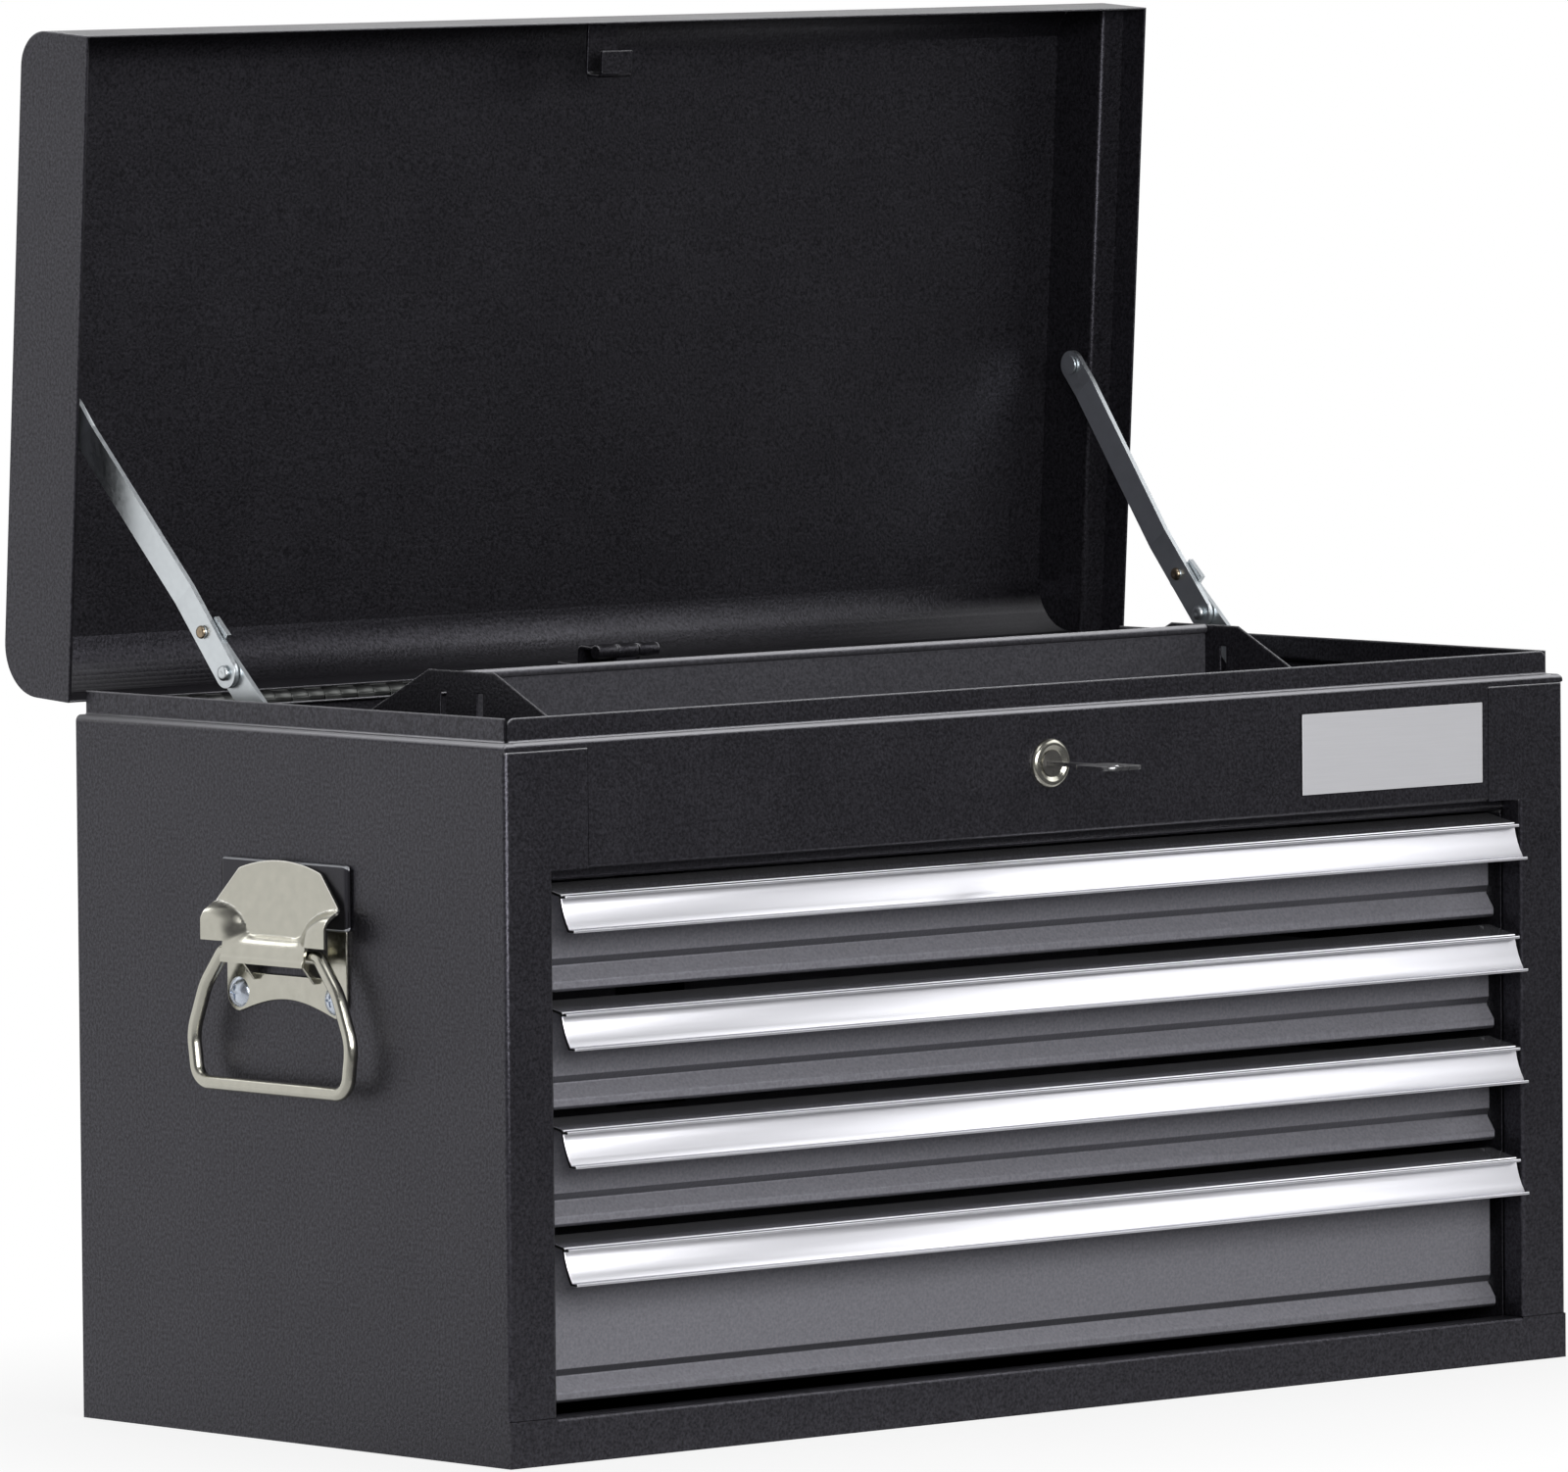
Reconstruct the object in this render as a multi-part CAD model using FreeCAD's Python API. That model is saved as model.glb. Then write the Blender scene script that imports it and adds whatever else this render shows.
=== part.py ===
import FreeCAD, Part
import math
import os

os.makedirs("parts", exist_ok=True)

Vector = FreeCAD.Vector

# Cabinet, in millimetres. The origin is the middle of the bottom face, +Z is up and -Y is the drawer side.
WIDTH = 660.0
DEPTH = 305.0
LEDGE_HEIGHT = 326.0
SHEET = 1.0
BEND = 1.0
SEAM = 0.3
RIM_INSET = 5.0
RIM_HEIGHT = 11.0
RIM_CORNER = 4.0
RIM_BACK_GAP = 0.5
LEDGE_BEND = 2.0
STILE_WIDTH = 28.0
FOLD_DEPTH = 12.5
APRON_HEIGHT = 58.3
APRON_SEAM_INSET = 49.0
APRON_BAND = 3.7
RAIL_HEIGHT = 21.0
BAY_FLANGE = 14.0
BAY_SETBACK = 15.0

# Drawers
SHALLOW_DRAWERS = 3
DEEP_SHARE = 1.43
FIRST_DRAWER_GAP = 11.5
DRAWER_GAP = 8.1
DEEP_DRAWER_GAP = 4.4
FRONT_SIDE_GAP = 4.2
DRAWER_RECESS = 18.0
DRAWER_BACK_GAP = 21.5
BOX_DROP = 8.0
FRONT_TOP_GAP = 1.0
GROOVE_RISE = 15.0
GROOVE_LOW = 11.5
GROOVE_DEPTH = 1.6
FLARE_REACH = 3.6
FLARE_FOOT = 4.6
FRONT_RETURN = 7.0
NOTCH_HALF = 22.0
NOTCH_DEPTH = 17.0

# Full-width drawer handles, extruded aluminium
HANDLE_HEIGHT = 16.5
HANDLE_RISE = 4.5
HANDLE_ROOM = 1.3
HANDLE_LIP_PROUD = 3.5
HANDLE_UNDERCUT = 3.2
HANDLE_FACE_PROUD = 5.9
HANDLE_FOOT_PROUD = 9.1
HANDLE_WALL = 1.6
HANDLE_LIP = 1.3
HANDLE_FOOT = 1.4
HANDLE_HOLLOW = 0.8
HANDLE_LEG = 5.0
HANDLE_GROOVE_SETBACK = 2.0
HANDLE_GROOVE_WIDTH = 1.4
HANDLE_GROOVE_DEPTH = 0.7

# Telescopic slides: cabinet, middle and drawer members nested in each other
SLIDE_WIDTH = 13.0
SLIDE_TOP_GAP = 2.0
SLIDE_STEEL = 1.2
SLIDE_GAP = 0.4
SLIDE_LIP = 9.0
SLIDE_FRONT_GAP = 3.0
SLIDE_BACK_GAP = 11.0

# Lid, drawn closed and then swung open about the hinge
LID_OVERHANG = 1.5
LID_FRONT_OVERHANG = 3.5
LID_GAP = 1.3
LID_HEIGHT = 47.7
LID_FRONT_RADIUS = 17.0
LID_REAR_RADIUS = 24.0
LID_OPEN = 86.4
CHANNEL_DEPTH = 15.0
CHANNEL_WIDTH = 15.0
CATCH_WIDTH = 19.0
CATCH_STEEL = 1.5
CATCH_BASE = 14.0
CATCH_REACH = 26.5
CATCH_DEPTH = 22.0
CATCH_LIP_DEPTH = 10.0
CATCH_LIP = 13.0

# Piano hinge along the back edge
HINGE_LENGTH = 600.0
HINGE_OFFSET = 4.0
KNUCKLE_LENGTH = 10.0
KNUCKLE_GAP = 0.3
KNUCKLE_RADIUS = 3.6
HINGE_PIN_RADIUS = 1.6
HINGE_LEAF = 1.2
HINGE_LEAF_HEIGHT = 24.0
RUNNING_GAP = 0.05

# Two-bar lid stays
STAY_PIN_FORWARD = 136.2
STAY_PIN_RISE = 22.6
STAY_UPPER_LENGTH = 154.0
STAY_UPPER_SLOPE = 49.5
STAY_LOWER_LENGTH = 110.0
STAY_LOWER_SLOPE = 43.0
STAY_BAR_WIDTH = 14.0
STAY_BAR_STEEL = 2.5
STAY_LEAN = 8.0
STAY_PIN_FLAT = 14.0
STAY_ELBOW_FLAT = 46.0
STAY_GAP = 0.5
STAY_STUD_RADIUS = 2.5
STAY_HEAD_RADIUS = 4.6
STAY_HEAD = 1.0
STAY_TAIL = 25.0
STAY_EAR = 12.0
STAY_EAR_REACH = 4.5
STAY_RIVET_STEP = 24.0
BRACKET_STEEL = 1.5
BRACKET_HALF = 13.0
BRACKET_FOOT = 8.0

# Drawer lock bar that hangs from a lug on the lid
LUG_SETBACK = 6.5
LUG_RISE = 13.1
LUG_HALF = 19.0
LUG_MIDDLE_HALF = 6.5
LUG_RADIUS = 3.2
LUG_PIN_RADIUS = 1.5
LUG_STEEL = 1.5
LUG_BASE = 16.0
LOCK_BAR_HALF = 15.0
LOCK_BAR_STEEL = 2.0
HOOK_HALF = 12.0
HOOK_RISE = 9.0
HOOK_REACH = 4.0
HOOK_TIP_GAP = 1.5
SLOT_FRONT_GAP = 15.5
SLOT_BACK_GAP = 1.0
SLOT_SIDE_GAP = 5.0

# Cam lock and key in the apron
LOCK_DROP = 25.5
BEZEL_RADIUS = 11.5
BEZEL_PROUD = 2.6
BARREL_RADIUS = 9.4
BARREL_LENGTH = 18.0
BEZEL_BEVEL_RADIUS = 8.4
BEZEL_BEVEL = 1.2
PLUG_RADIUS = 6.0
PLUG_RECESS = 0.8
LOCK_NUT_RADIUS = 13.0
LOCK_NUT = 3.0
KEY_REACH = 53.0
KEY_STEEL = 1.8
KEY_BLADE = 6.5
KEY_BLADE_INSIDE = 14.0
KEY_BOW_WIDTH = 23.0
KEY_BOW_LENGTH = 26.0
KEY_HOLE_RADIUS = 3.0
KEY_GAP = 0.1
CAM_STEEL = 2.0
CAM_BORE_RADIUS = 3.0
CAM_CLEAR = 0.8
CAM_FINGER = 5.0
CAM_FINGER_SWEEP = 34.0
CAM_ARM_SWEEP = 10.0
CAM_REST_TURN = 90.0

# Bare label plate on the apron
PLATE_INSET = 53.5
PLATE_LENGTH = 117.0
PLATE_HEIGHT = 38.0
PLATE_STEEL = 0.8
PLATE_DROP = 30.0

# Carrying handle on each side panel
GRIP_TOP_DROP = 60.0
GRIP_BACKING_HALF = 45.0
GRIP_BACKING_HEIGHT = 30.0
GRIP_BACKING_STEEL = 3.0
GRIP_STEEL = 1.5
GRIP_HOOD_PROUD = 16.4
GRIP_HOOD_HEIGHT = 46.5
GRIP_HOOD_HALF = 29.3
GRIP_VALLEY_PROUD = 8.7
GRIP_VALLEY_RISE = 12.8
GRIP_HOOD_BEND = 5.0
GRIP_EAR_HALF = 43.5
GRIP_EAR_RISE = 9.4
GRIP_EAR_HEIGHT = 17.2
GRIP_EAR_BEND = 9.0
GRIP_TOP_HALF = 29.0
GRIP_SHOULDER_HALF = 44.0
GRIP_CROWN = 0.5
GRIP_CROWN_SAG = 4.5
GRIP_EYE_HALF = 22.0
GRIP_EYE_WALL = 1.5
GRIP_FLANGE_DROP = 6.0
GRIP_FLANGE_HEIGHT = 17.5
GRIP_FLANGE_ARCH = 7.0
GRIP_FLANGE_RADIUS = 8.7
GRIP_PIVOT_RISE = 4.7
GRIP_PIVOT_PROUD = 10.4
GRIP_SCREW_HALF = 34.0
GRIP_SCREW_DROP = 15.0
SCREW_RADIUS = 2.0
SCREW_HOLE_GAP = 0.1
SCREW_LENGTH = 8.0
SCREW_HEAD_RADIUS = 7.0
SCREW_HEAD = 3.2
SCREW_CROSS_LENGTH = 6.4
SCREW_CROSS_WIDTH = 1.2
SCREW_CROSS_DEPTH = 1.3
BAIL_WIRE = 6.5
BAIL_PIN_INNER = 18.0
BAIL_PIN_HALF = 34.0
BAIL_KNEE_HALF = 47.0
BAIL_KNEE_DROP = 16.0
BAIL_WIDE_HALF = 56.3
BAIL_WIDE_DROP = 38.5
BAIL_FOOT_HALF = 53.0
BAIL_DROP = 61.2
BAIL_PIN_BEND = 5.0
BAIL_KNEE_BEND = 30.0
BAIL_WIDE_BEND = 22.0
BAIL_FOOT_BEND = 9.0

# Lift-out tote tray
TRAY_HALF = 233.0
TRAY_FRONT_GAP = 39.5
TRAY_BACK_GAP = 56.5
TRAY_WALL = 45.0
TRAY_RISE = 85.0
TRAY_CROWN_HALF = 23.3
TRAY_STEEL = 1.0
TRAY_SEAT_GAP = 0.3
TRAY_ROLL_RADIUS = 2.2
TRAY_SLOT_WIDTH = 4.0
TRAY_SLOT_HEIGHT = 22.0
TRAY_SLOT_STEP = 26.0
TRAY_SLOT_DROP = 10.0
TRAY_WINDOW = 13.0

# Places that follow from the sizes above
HALF = WIDTH / 2
FRONT = -DEPTH / 2
BACK = DEPTH / 2
RIM_TOP = LEDGE_HEIGHT + RIM_HEIGHT
APRON_BOTTOM = LEDGE_HEIGHT - APRON_HEIGHT
FIRST_TOP = APRON_BOTTOM - FIRST_DRAWER_GAP
DRAWER_PITCH = (FIRST_TOP - RAIL_HEIGHT) / (SHALLOW_DRAWERS + DEEP_SHARE)
SHALLOW_FRONT = DRAWER_PITCH - DRAWER_GAP
FLOOR_BOTTOM = FIRST_TOP + HANDLE_RISE + HANDLE_ROOM
FLOOR_TOP = FLOOR_BOTTOM + SHEET
OPENING_HALF = HALF - STILE_WIDTH
BAY_HALF = OPENING_HALF + SHEET
BOX_HALF = BAY_HALF - SLIDE_WIDTH
DRAWER_HALF = OPENING_HALF - FRONT_SIDE_GAP
FACE = FRONT + DRAWER_RECESS
BOX_FRONT = FACE + SHEET + GROOVE_DEPTH
BOX_BACK = BACK - DRAWER_BACK_GAP
SLIDE_HEIGHT = SHALLOW_FRONT - BOX_DROP - SHEET - SLIDE_TOP_GAP
SLIDE_FRONT = BOX_FRONT + SHEET + SLIDE_FRONT_GAP
SLIDE_BACK = BACK - SHEET - SLIDE_BACK_GAP
LID_EDGE = LEDGE_HEIGHT + LID_GAP
LID_TOP = LID_EDGE + LID_HEIGHT
LID_FRONT = FRONT - LID_FRONT_OVERHANG
LID_BACK = BACK
LID_HALF = HALF + LID_OVERHANG
SHELL_HALF = LID_HALF - SHEET
HINGE_Y = BACK + HINGE_OFFSET
HINGE_Z = LID_EDGE
CHANNEL_FACE = SHELL_HALF - CHANNEL_WIDTH + SHEET
OUTER_SLOT = CHANNEL_FACE - STAY_GAP - STAY_BAR_STEEL
INNER_SLOT = OUTER_SLOT - STAY_GAP - STAY_BAR_STEEL
BRACKET_FACE = CHANNEL_FACE + STAY_HEAD + STAY_GAP - STAY_LEAN
LUG_Y = BACK - LUG_SETBACK
LUG_Z = HINGE_Z + LUG_RISE
LOCK_Z = LEDGE_HEIGHT - LOCK_DROP
BARREL_BACK = FRONT + BARREL_LENGTH
GRIP_TOP = LEDGE_HEIGHT - GRIP_TOP_DROP
GRIP_BOTTOM = GRIP_TOP - GRIP_HOOD_HEIGHT
GRIP_PIVOT_Z = GRIP_BOTTOM + GRIP_PIVOT_RISE
GRIP_PIVOT_X = HALF + GRIP_PIVOT_PROUD
TRAY_BOTTOM = FLOOR_TOP + TRAY_SEAT_GAP
TRAY_FRONT = FRONT + TRAY_FRONT_GAP
TRAY_BACK = BACK - TRAY_BACK_GAP
TRAY_MIDDLE = (TRAY_FRONT + TRAY_BACK) / 2


def drawer_levels():
    """Lip of each handle, foot of each front and top of each box, from the upper drawer down."""
    levels = []
    top = FIRST_TOP
    for index in range(SHALLOW_DRAWERS):
        levels.append((top, top - SHALLOW_FRONT, top - BOX_DROP))
        top = top - DRAWER_PITCH
    levels.append((top, RAIL_HEIGHT + DEEP_DRAWER_GAP, top - BOX_DROP))
    return levels


def box(x0, x1, y0, y1, z0, z1):
    """Block between two corners given in any order."""
    low = Vector(min(x0, x1), min(y0, y1), min(z0, z1))
    return Part.makeBox(abs(x1 - x0), abs(y1 - y0), abs(z1 - z0), low)


def rod(radius, start, end):
    """Round bar from start to end."""
    along = end - start
    return Part.makeCylinder(radius, along.Length, start, along)


def mirrored(shape):
    """Copy of a shape on the other side of the middle plane."""
    return shape.mirror(Vector(0, 0, 0), Vector(1, 0, 0))


def on_yz(x):
    return lambda u, v: Vector(x, u, v)


def on_xz(y):
    return lambda u, v: Vector(u, y, v)


def on_xy(z):
    return lambda u, v: Vector(u, v, z)


def flat(point):
    return Vector(point[0], point[1], 0)


def rounded_line(points, radii, place):
    """Edges of an open line whose inner corners are rounded by the radii."""
    edges = []
    start = flat(points[0])
    for before, here, after, radius in zip(points, points[1:], points[2:], radii):
        corner = flat(here)
        back = (flat(before) - corner).normalize()
        ahead = (flat(after) - corner).normalize()
        half = back.getAngle(ahead) / 2
        reach = radius / math.tan(half)
        inward = (back + ahead).normalize()
        centre = corner + inward * (radius / math.sin(half))
        first = corner + back * reach
        last = corner + ahead * reach
        middle = centre - inward * radius
        edges.append(Part.makeLine(place(start.x, start.y), place(first.x, first.y)))
        arc = Part.Arc(place(first.x, first.y), place(middle.x, middle.y), place(last.x, last.y))
        edges.append(arc.toShape())
        start = last
    end = flat(points[-1])
    edges.append(Part.makeLine(place(start.x, start.y), place(end.x, end.y)))
    return edges


def left_offset(points, distance):
    """The same open line, moved to its left by a distance."""
    normals = []
    for here, after in zip(points, points[1:]):
        along = (flat(after) - flat(here)).normalize()
        normals.append(Vector(-along.y, along.x, 0))
    moved = []
    for index, point in enumerate(points):
        first = normals[max(index - 1, 0)]
        second = normals[min(index, len(normals) - 1)]
        mitre = (first + second) * (distance / (1 + first.dot(second)))
        moved.append((point[0] + mitre.x, point[1] + mitre.y))
    return moved


def bent_sheet(points, thickness, bends, place):
    """Face of a bent sheet: its skin follows the points and its metal lies to the left of them."""
    other = left_offset(points, thickness)
    skin_radii = []
    other_radii = []
    for before, here, after, bend in zip(points, points[1:], points[2:], bends):
        first = flat(here) - flat(before)
        second = flat(after) - flat(here)
        turn = first.cross(second).z * thickness
        skin_radii.append(bend + abs(thickness) if turn > 0 else bend)
        other_radii.append(bend if turn > 0 else bend + abs(thickness))
    edges = rounded_line(points, skin_radii, place)
    edges.append(Part.makeLine(place(*points[-1]), place(*other[-1])))
    edges.extend(rounded_line(other[::-1], other_radii[::-1], place))
    edges.append(Part.makeLine(place(*other[0]), place(*points[0])))
    return Part.Face(Part.Wire(edges))


def sheet_along_x(points, thickness, x0, x1, bends=None):
    bends = bends or [BEND] * (len(points) - 2)
    return bent_sheet(points, thickness, bends, on_yz(x0)).extrude(Vector(x1 - x0, 0, 0))


def sheet_along_y(points, thickness, y0, y1, bends=None):
    bends = bends or [BEND] * (len(points) - 2)
    return bent_sheet(points, thickness, bends, on_xz(y0)).extrude(Vector(0, y1 - y0, 0))


def sheet_along_z(points, thickness, z0, z1):
    bends = [BEND] * (len(points) - 2)
    return bent_sheet(points, thickness, bends, on_xy(z0)).extrude(Vector(0, 0, z1 - z0))


def prism_x(points, x0, x1):
    """Straight-sided block with a (y, z) outline."""
    corners = [Vector(x0, y, z) for y, z in points]
    return Part.Face(Part.makePolygon(corners + corners[:1])).extrude(Vector(x1 - x0, 0, 0))


def fused(shapes):
    return shapes[0].multiFuse(shapes[1:]).removeSplitter()


def swung_open(shape):
    """A lid piece drawn closed, turned to the open rest pose."""
    turned = shape.copy()
    turned.rotate(Vector(0, HINGE_Y, HINGE_Z), Vector(1, 0, 0), -LID_OPEN)
    return turned


def save(name, shape):
    shape.exportStep("parts/" + name + ".step")


def make_side_panel():
    """Right side panel with its front stile, ledge and rim."""
    stile_top = LEDGE_HEIGHT - APRON_BAND - SEAM
    seam_x = HALF - APRON_SEAM_INSET
    wall_path = [(HALF, BACK), (HALF, FRONT), (OPENING_HALF, FRONT), (OPENING_HALF, FRONT + FOLD_DEPTH)]
    wall = sheet_along_z(wall_path, -SHEET, RAIL_HEIGHT + SEAM, APRON_BOTTOM)
    head_path = [(HALF, BACK), (HALF, FRONT), (seam_x, FRONT)]
    head = sheet_along_z(head_path, -SHEET, APRON_BOTTOM, stile_top)
    foot = box(HALF - SHEET, HALF, FRONT + SHEET, BACK, 0, RAIL_HEIGHT + SEAM)
    rim = HALF - RIM_INSET
    ledge_path = [(HALF, stile_top), (HALF, LEDGE_HEIGHT), (rim, LEDGE_HEIGHT), (rim, RIM_TOP)]
    ledge = sheet_along_y(ledge_path, SHEET, FRONT + SHEET, BACK, [LEDGE_BEND, BEND])
    above = LEDGE_HEIGHT
    front_gap = box(0, HALF, FRONT, FRONT + RIM_INSET + SHEET + SEAM, above, RIM_TOP + SHEET)
    back_gap = box(0, HALF, BACK - SHEET - RIM_BACK_GAP, BACK + SHEET, above, RIM_TOP + SHEET)
    panel = fused([wall, head, foot, ledge]).cut(front_gap).cut(back_gap)
    for y, z in grip_screw_places():
        hole = rod(SCREW_RADIUS + SCREW_HOLE_GAP, Vector(HALF - 2 * SHEET, y, z), Vector(HALF + SHEET, y, z))
        panel = panel.cut(hole)
    return panel


def outer_corner(x, z, radius, y0, y1):
    """What is cut away to round the upper corner at x and z of an upright sheet."""
    centre_x = x - math.copysign(radius, x)
    square = box(centre_x, x + math.copysign(SHEET, x), y0, y1, z - radius, z + SHEET)
    return square.cut(rod(radius, Vector(centre_x, y0, z - radius), Vector(centre_x, y1, z - radius)))


def make_apron():
    """Front panel above the drawers, with the front ledge and rim and the lock hole."""
    rim = FRONT + RIM_INSET
    path = [
        (FRONT + FOLD_DEPTH, APRON_BOTTOM),
        (FRONT, APRON_BOTTOM),
        (FRONT, LEDGE_HEIGHT),
        (rim, LEDGE_HEIGHT),
        (rim, RIM_TOP),
    ]
    apron = sheet_along_x(path, -SHEET, -HALF, HALF)
    band_bottom = LEDGE_HEIGHT - APRON_BAND
    seam_x = HALF - APRON_SEAM_INSET - SEAM
    rim_end = HALF - RIM_INSET - SHEET - SEAM
    behind = FRONT + SHEET
    deep = FRONT + FOLD_DEPTH + SHEET
    for side in (-1, 1):
        below = box(side * seam_x, side * (HALF + SHEET), FRONT - SHEET, deep, APRON_BOTTOM - SHEET, band_bottom)
        corner = box(side * rim_end, side * (HALF + SHEET), behind, deep, band_bottom, RIM_TOP + SHEET)
        apron = apron.cut(below).cut(corner)
        ledge_end = outer_corner(side * HALF, LEDGE_HEIGHT, LEDGE_BEND + SHEET, FRONT - SHEET, behind)
        rim_corner = outer_corner(side * rim_end, RIM_TOP, RIM_CORNER, behind, deep)
        apron = apron.cut(ledge_end).cut(rim_corner)
    hole = rod(BARREL_RADIUS, Vector(0, FRONT - SHEET, LOCK_Z), Vector(0, deep, LOCK_Z))
    return apron.cut(hole)


def make_back_panel():
    inner = HALF - SHEET
    ledge_path = [(BACK, SHEET), (BACK, LEDGE_HEIGHT), (BACK - RIM_INSET, LEDGE_HEIGHT)]
    panel = sheet_along_x(ledge_path, SHEET, -inner, inner)
    for side in (-1, 1):
        corner = box(side * (HALF - RIM_INSET - SHEET), side * HALF, BACK - RIM_INSET - SHEET, BACK + SHEET,
                     LEDGE_HEIGHT - APRON_BAND - SEAM, LEDGE_HEIGHT + SHEET)
        panel = panel.cut(corner)
    return panel


def make_bottom_rail():
    """Rail below the drawers, folded back between the stiles and flat below them."""
    path = [(FRONT, 0), (FRONT, RAIL_HEIGHT), (FRONT + FOLD_DEPTH, RAIL_HEIGHT)]
    middle = sheet_along_x(path, -SHEET, -OPENING_HALF, OPENING_HALF)
    ends = [box(side * OPENING_HALF, side * HALF, FRONT, FRONT + SHEET, 0, RAIL_HEIGHT) for side in (-1, 1)]
    return fused([middle] + ends)


def make_floor():
    """Floor of the top compartment, turned up behind the apron, with the slot for the lock bar."""
    inner = HALF - SHEET
    front = FRONT + FOLD_DEPTH
    path = [(front, APRON_BOTTOM + SHEET), (front, FLOOR_BOTTOM), (BACK - SHEET, FLOOR_BOTTOM)]
    plate = sheet_along_x(path, SHEET, -inner, inner)
    slot_half = LOCK_BAR_HALF + SLOT_SIDE_GAP
    back = BACK - SHEET - SLOT_BACK_GAP
    slot = box(-slot_half, slot_half, back - SLOT_FRONT_GAP, back, FLOOR_BOTTOM - SHEET, FLOOR_TOP + SHEET)
    return plate.cut(slot)


def make_bay_wall():
    """Right inner wall that carries the drawer slides."""
    far = BAY_HALF + BAY_FLANGE
    path = [(far, SHEET), (BAY_HALF, SHEET), (BAY_HALF, FLOOR_BOTTOM), (far, FLOOR_BOTTOM)]
    return sheet_along_y(path, -SHEET, FRONT + BAY_SETBACK, BACK - SHEET)


def slide_channel(web, lip, half_height, middle):
    """C-shaped slide member that stands along Y, with its web at one side and its lips at the other."""
    path = [(lip, middle - half_height), (web, middle - half_height),
            (web, middle + half_height), (lip, middle + half_height)]
    thickness = -SLIDE_STEEL if lip > web else SLIDE_STEEL
    tight = [SLIDE_STEEL / 2] * 2
    return sheet_along_y(path, thickness, SLIDE_FRONT, SLIDE_BACK, tight)


def make_slides(middle):
    """Cabinet, middle and drawer members on the right, around one height."""
    step = SLIDE_STEEL + SLIDE_GAP
    half = SLIDE_HEIGHT / 2
    outer = slide_channel(BAY_HALF, BAY_HALF - SLIDE_LIP, half, middle)
    between = slide_channel(BAY_HALF - step, BAY_HALF - SLIDE_LIP - step, half - step, middle)
    inner = slide_channel(BOX_HALF, BAY_HALF - 2 * step, half - 2 * step, middle)
    return outer, between, inner


def make_drawer_box(foot, top):
    """Welded drawer pan, open at the top, with the lock notch in its back wall."""
    bottom = foot + SHEET
    outer = box(-BOX_HALF, BOX_HALF, BOX_FRONT, BOX_BACK, bottom, top)
    inside_half = BOX_HALF - SHEET
    inside = box(-inside_half, inside_half, BOX_FRONT + SHEET, BOX_BACK - SHEET, bottom + SHEET, top + SHEET)
    notch = box(-NOTCH_HALF, NOTCH_HALF, BOX_BACK - 2 * SHEET, BOX_BACK + SHEET, top - NOTCH_DEPTH, top + SHEET)
    return outer.cut(inside).cut(notch)


def make_drawer_front(top, foot):
    """Outer drawer front with a pressed groove, flared at its foot and folded back under the pan."""
    path = [
        (FACE, top + HANDLE_RISE - FRONT_TOP_GAP),
        (FACE, foot + GROOVE_RISE),
        (FACE + GROOVE_DEPTH, foot + GROOVE_LOW),
        (FACE - FLARE_REACH, foot + FLARE_FOOT),
        (FACE - FLARE_REACH, foot),
        (FACE + FRONT_RETURN, foot),
    ]
    return sheet_along_x(path, SHEET, -DRAWER_HALF, DRAWER_HALF, [BEND] * 4)


def make_drawer_handle(top):
    """Extruded pull: a strip that slopes down from the drawer front to a lip, and a hollow face with a foot."""
    lip = FRONT - HANDLE_LIP_PROUD
    slope = HANDLE_RISE / (FACE - lip)
    low = top - HANDLE_HEIGHT
    leg_low = top + HANDLE_RISE - HANDLE_LEG
    face_top = lip + HANDLE_UNDERCUT
    face_low = FRONT - HANDLE_FACE_PROUD
    foot = FRONT - HANDLE_FOOT_PROUD
    groove = lip + HANDLE_GROOVE_SETBACK

    def on_strip(y, below=0.0):
        return Vector(0, y, top + (y - lip) * slope - below)

    def hollow(start, end):
        middle = (start + end) * 0.5 + Vector(0, HANDLE_HOLLOW, 0)
        return Part.Arc(start, middle, end).toShape()

    def lines(points):
        return [Part.makeLine(a, b) for a, b in zip(points, points[1:])]

    front = [
        Vector(0, FACE, leg_low),
        on_strip(FACE),
        on_strip(groove + HANDLE_GROOVE_WIDTH),
        on_strip(groove + HANDLE_GROOVE_WIDTH / 2, HANDLE_GROOVE_DEPTH),
        on_strip(groove),
        on_strip(lip),
        Vector(0, lip, top - HANDLE_LIP),
        Vector(0, face_top, top - HANDLE_LIP),
    ]
    toe = [
        Vector(0, face_low, low + HANDLE_FOOT),
        Vector(0, foot, low + HANDLE_FOOT),
        Vector(0, foot, low),
        Vector(0, face_low + HANDLE_WALL, low),
    ]
    rear = [
        on_strip(face_top + HANDLE_WALL, HANDLE_WALL),
        on_strip(FACE - HANDLE_WALL, HANDLE_WALL),
        Vector(0, FACE - HANDLE_WALL, leg_low),
        front[0],
    ]
    edges = lines(front) + [hollow(front[-1], toe[0])] + lines(toe) + [hollow(toe[-1], rear[0])] + lines(rear)
    bar = Part.Face(Part.Wire(edges)).extrude(Vector(2 * DRAWER_HALF, 0, 0))
    bar.translate(Vector(-DRAWER_HALF, 0, 0))
    return bar


def save_drawers():
    """Four drawers with their slides; the members on the cabinet are one group."""
    fixed = []
    for index, (top, foot, box_top) in enumerate(drawer_levels()):
        name = "drawer_" + str(index + 1)
        outer, between, inner = make_slides(foot + SHEET + SLIDE_HEIGHT / 2)
        fixed.extend([outer, mirrored(outer)])
        save(name + "_middle_slides", Part.makeCompound([between, mirrored(between)]))
        save(name + "_rails", Part.makeCompound([inner, mirrored(inner)]))
        save(name + "_box", make_drawer_box(foot, box_top))
        save(name + "_front", make_drawer_front(top, foot))
        save(name + "_handle", make_drawer_handle(top))
    save("cabinet_slides", Part.makeCompound(fixed))


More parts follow.
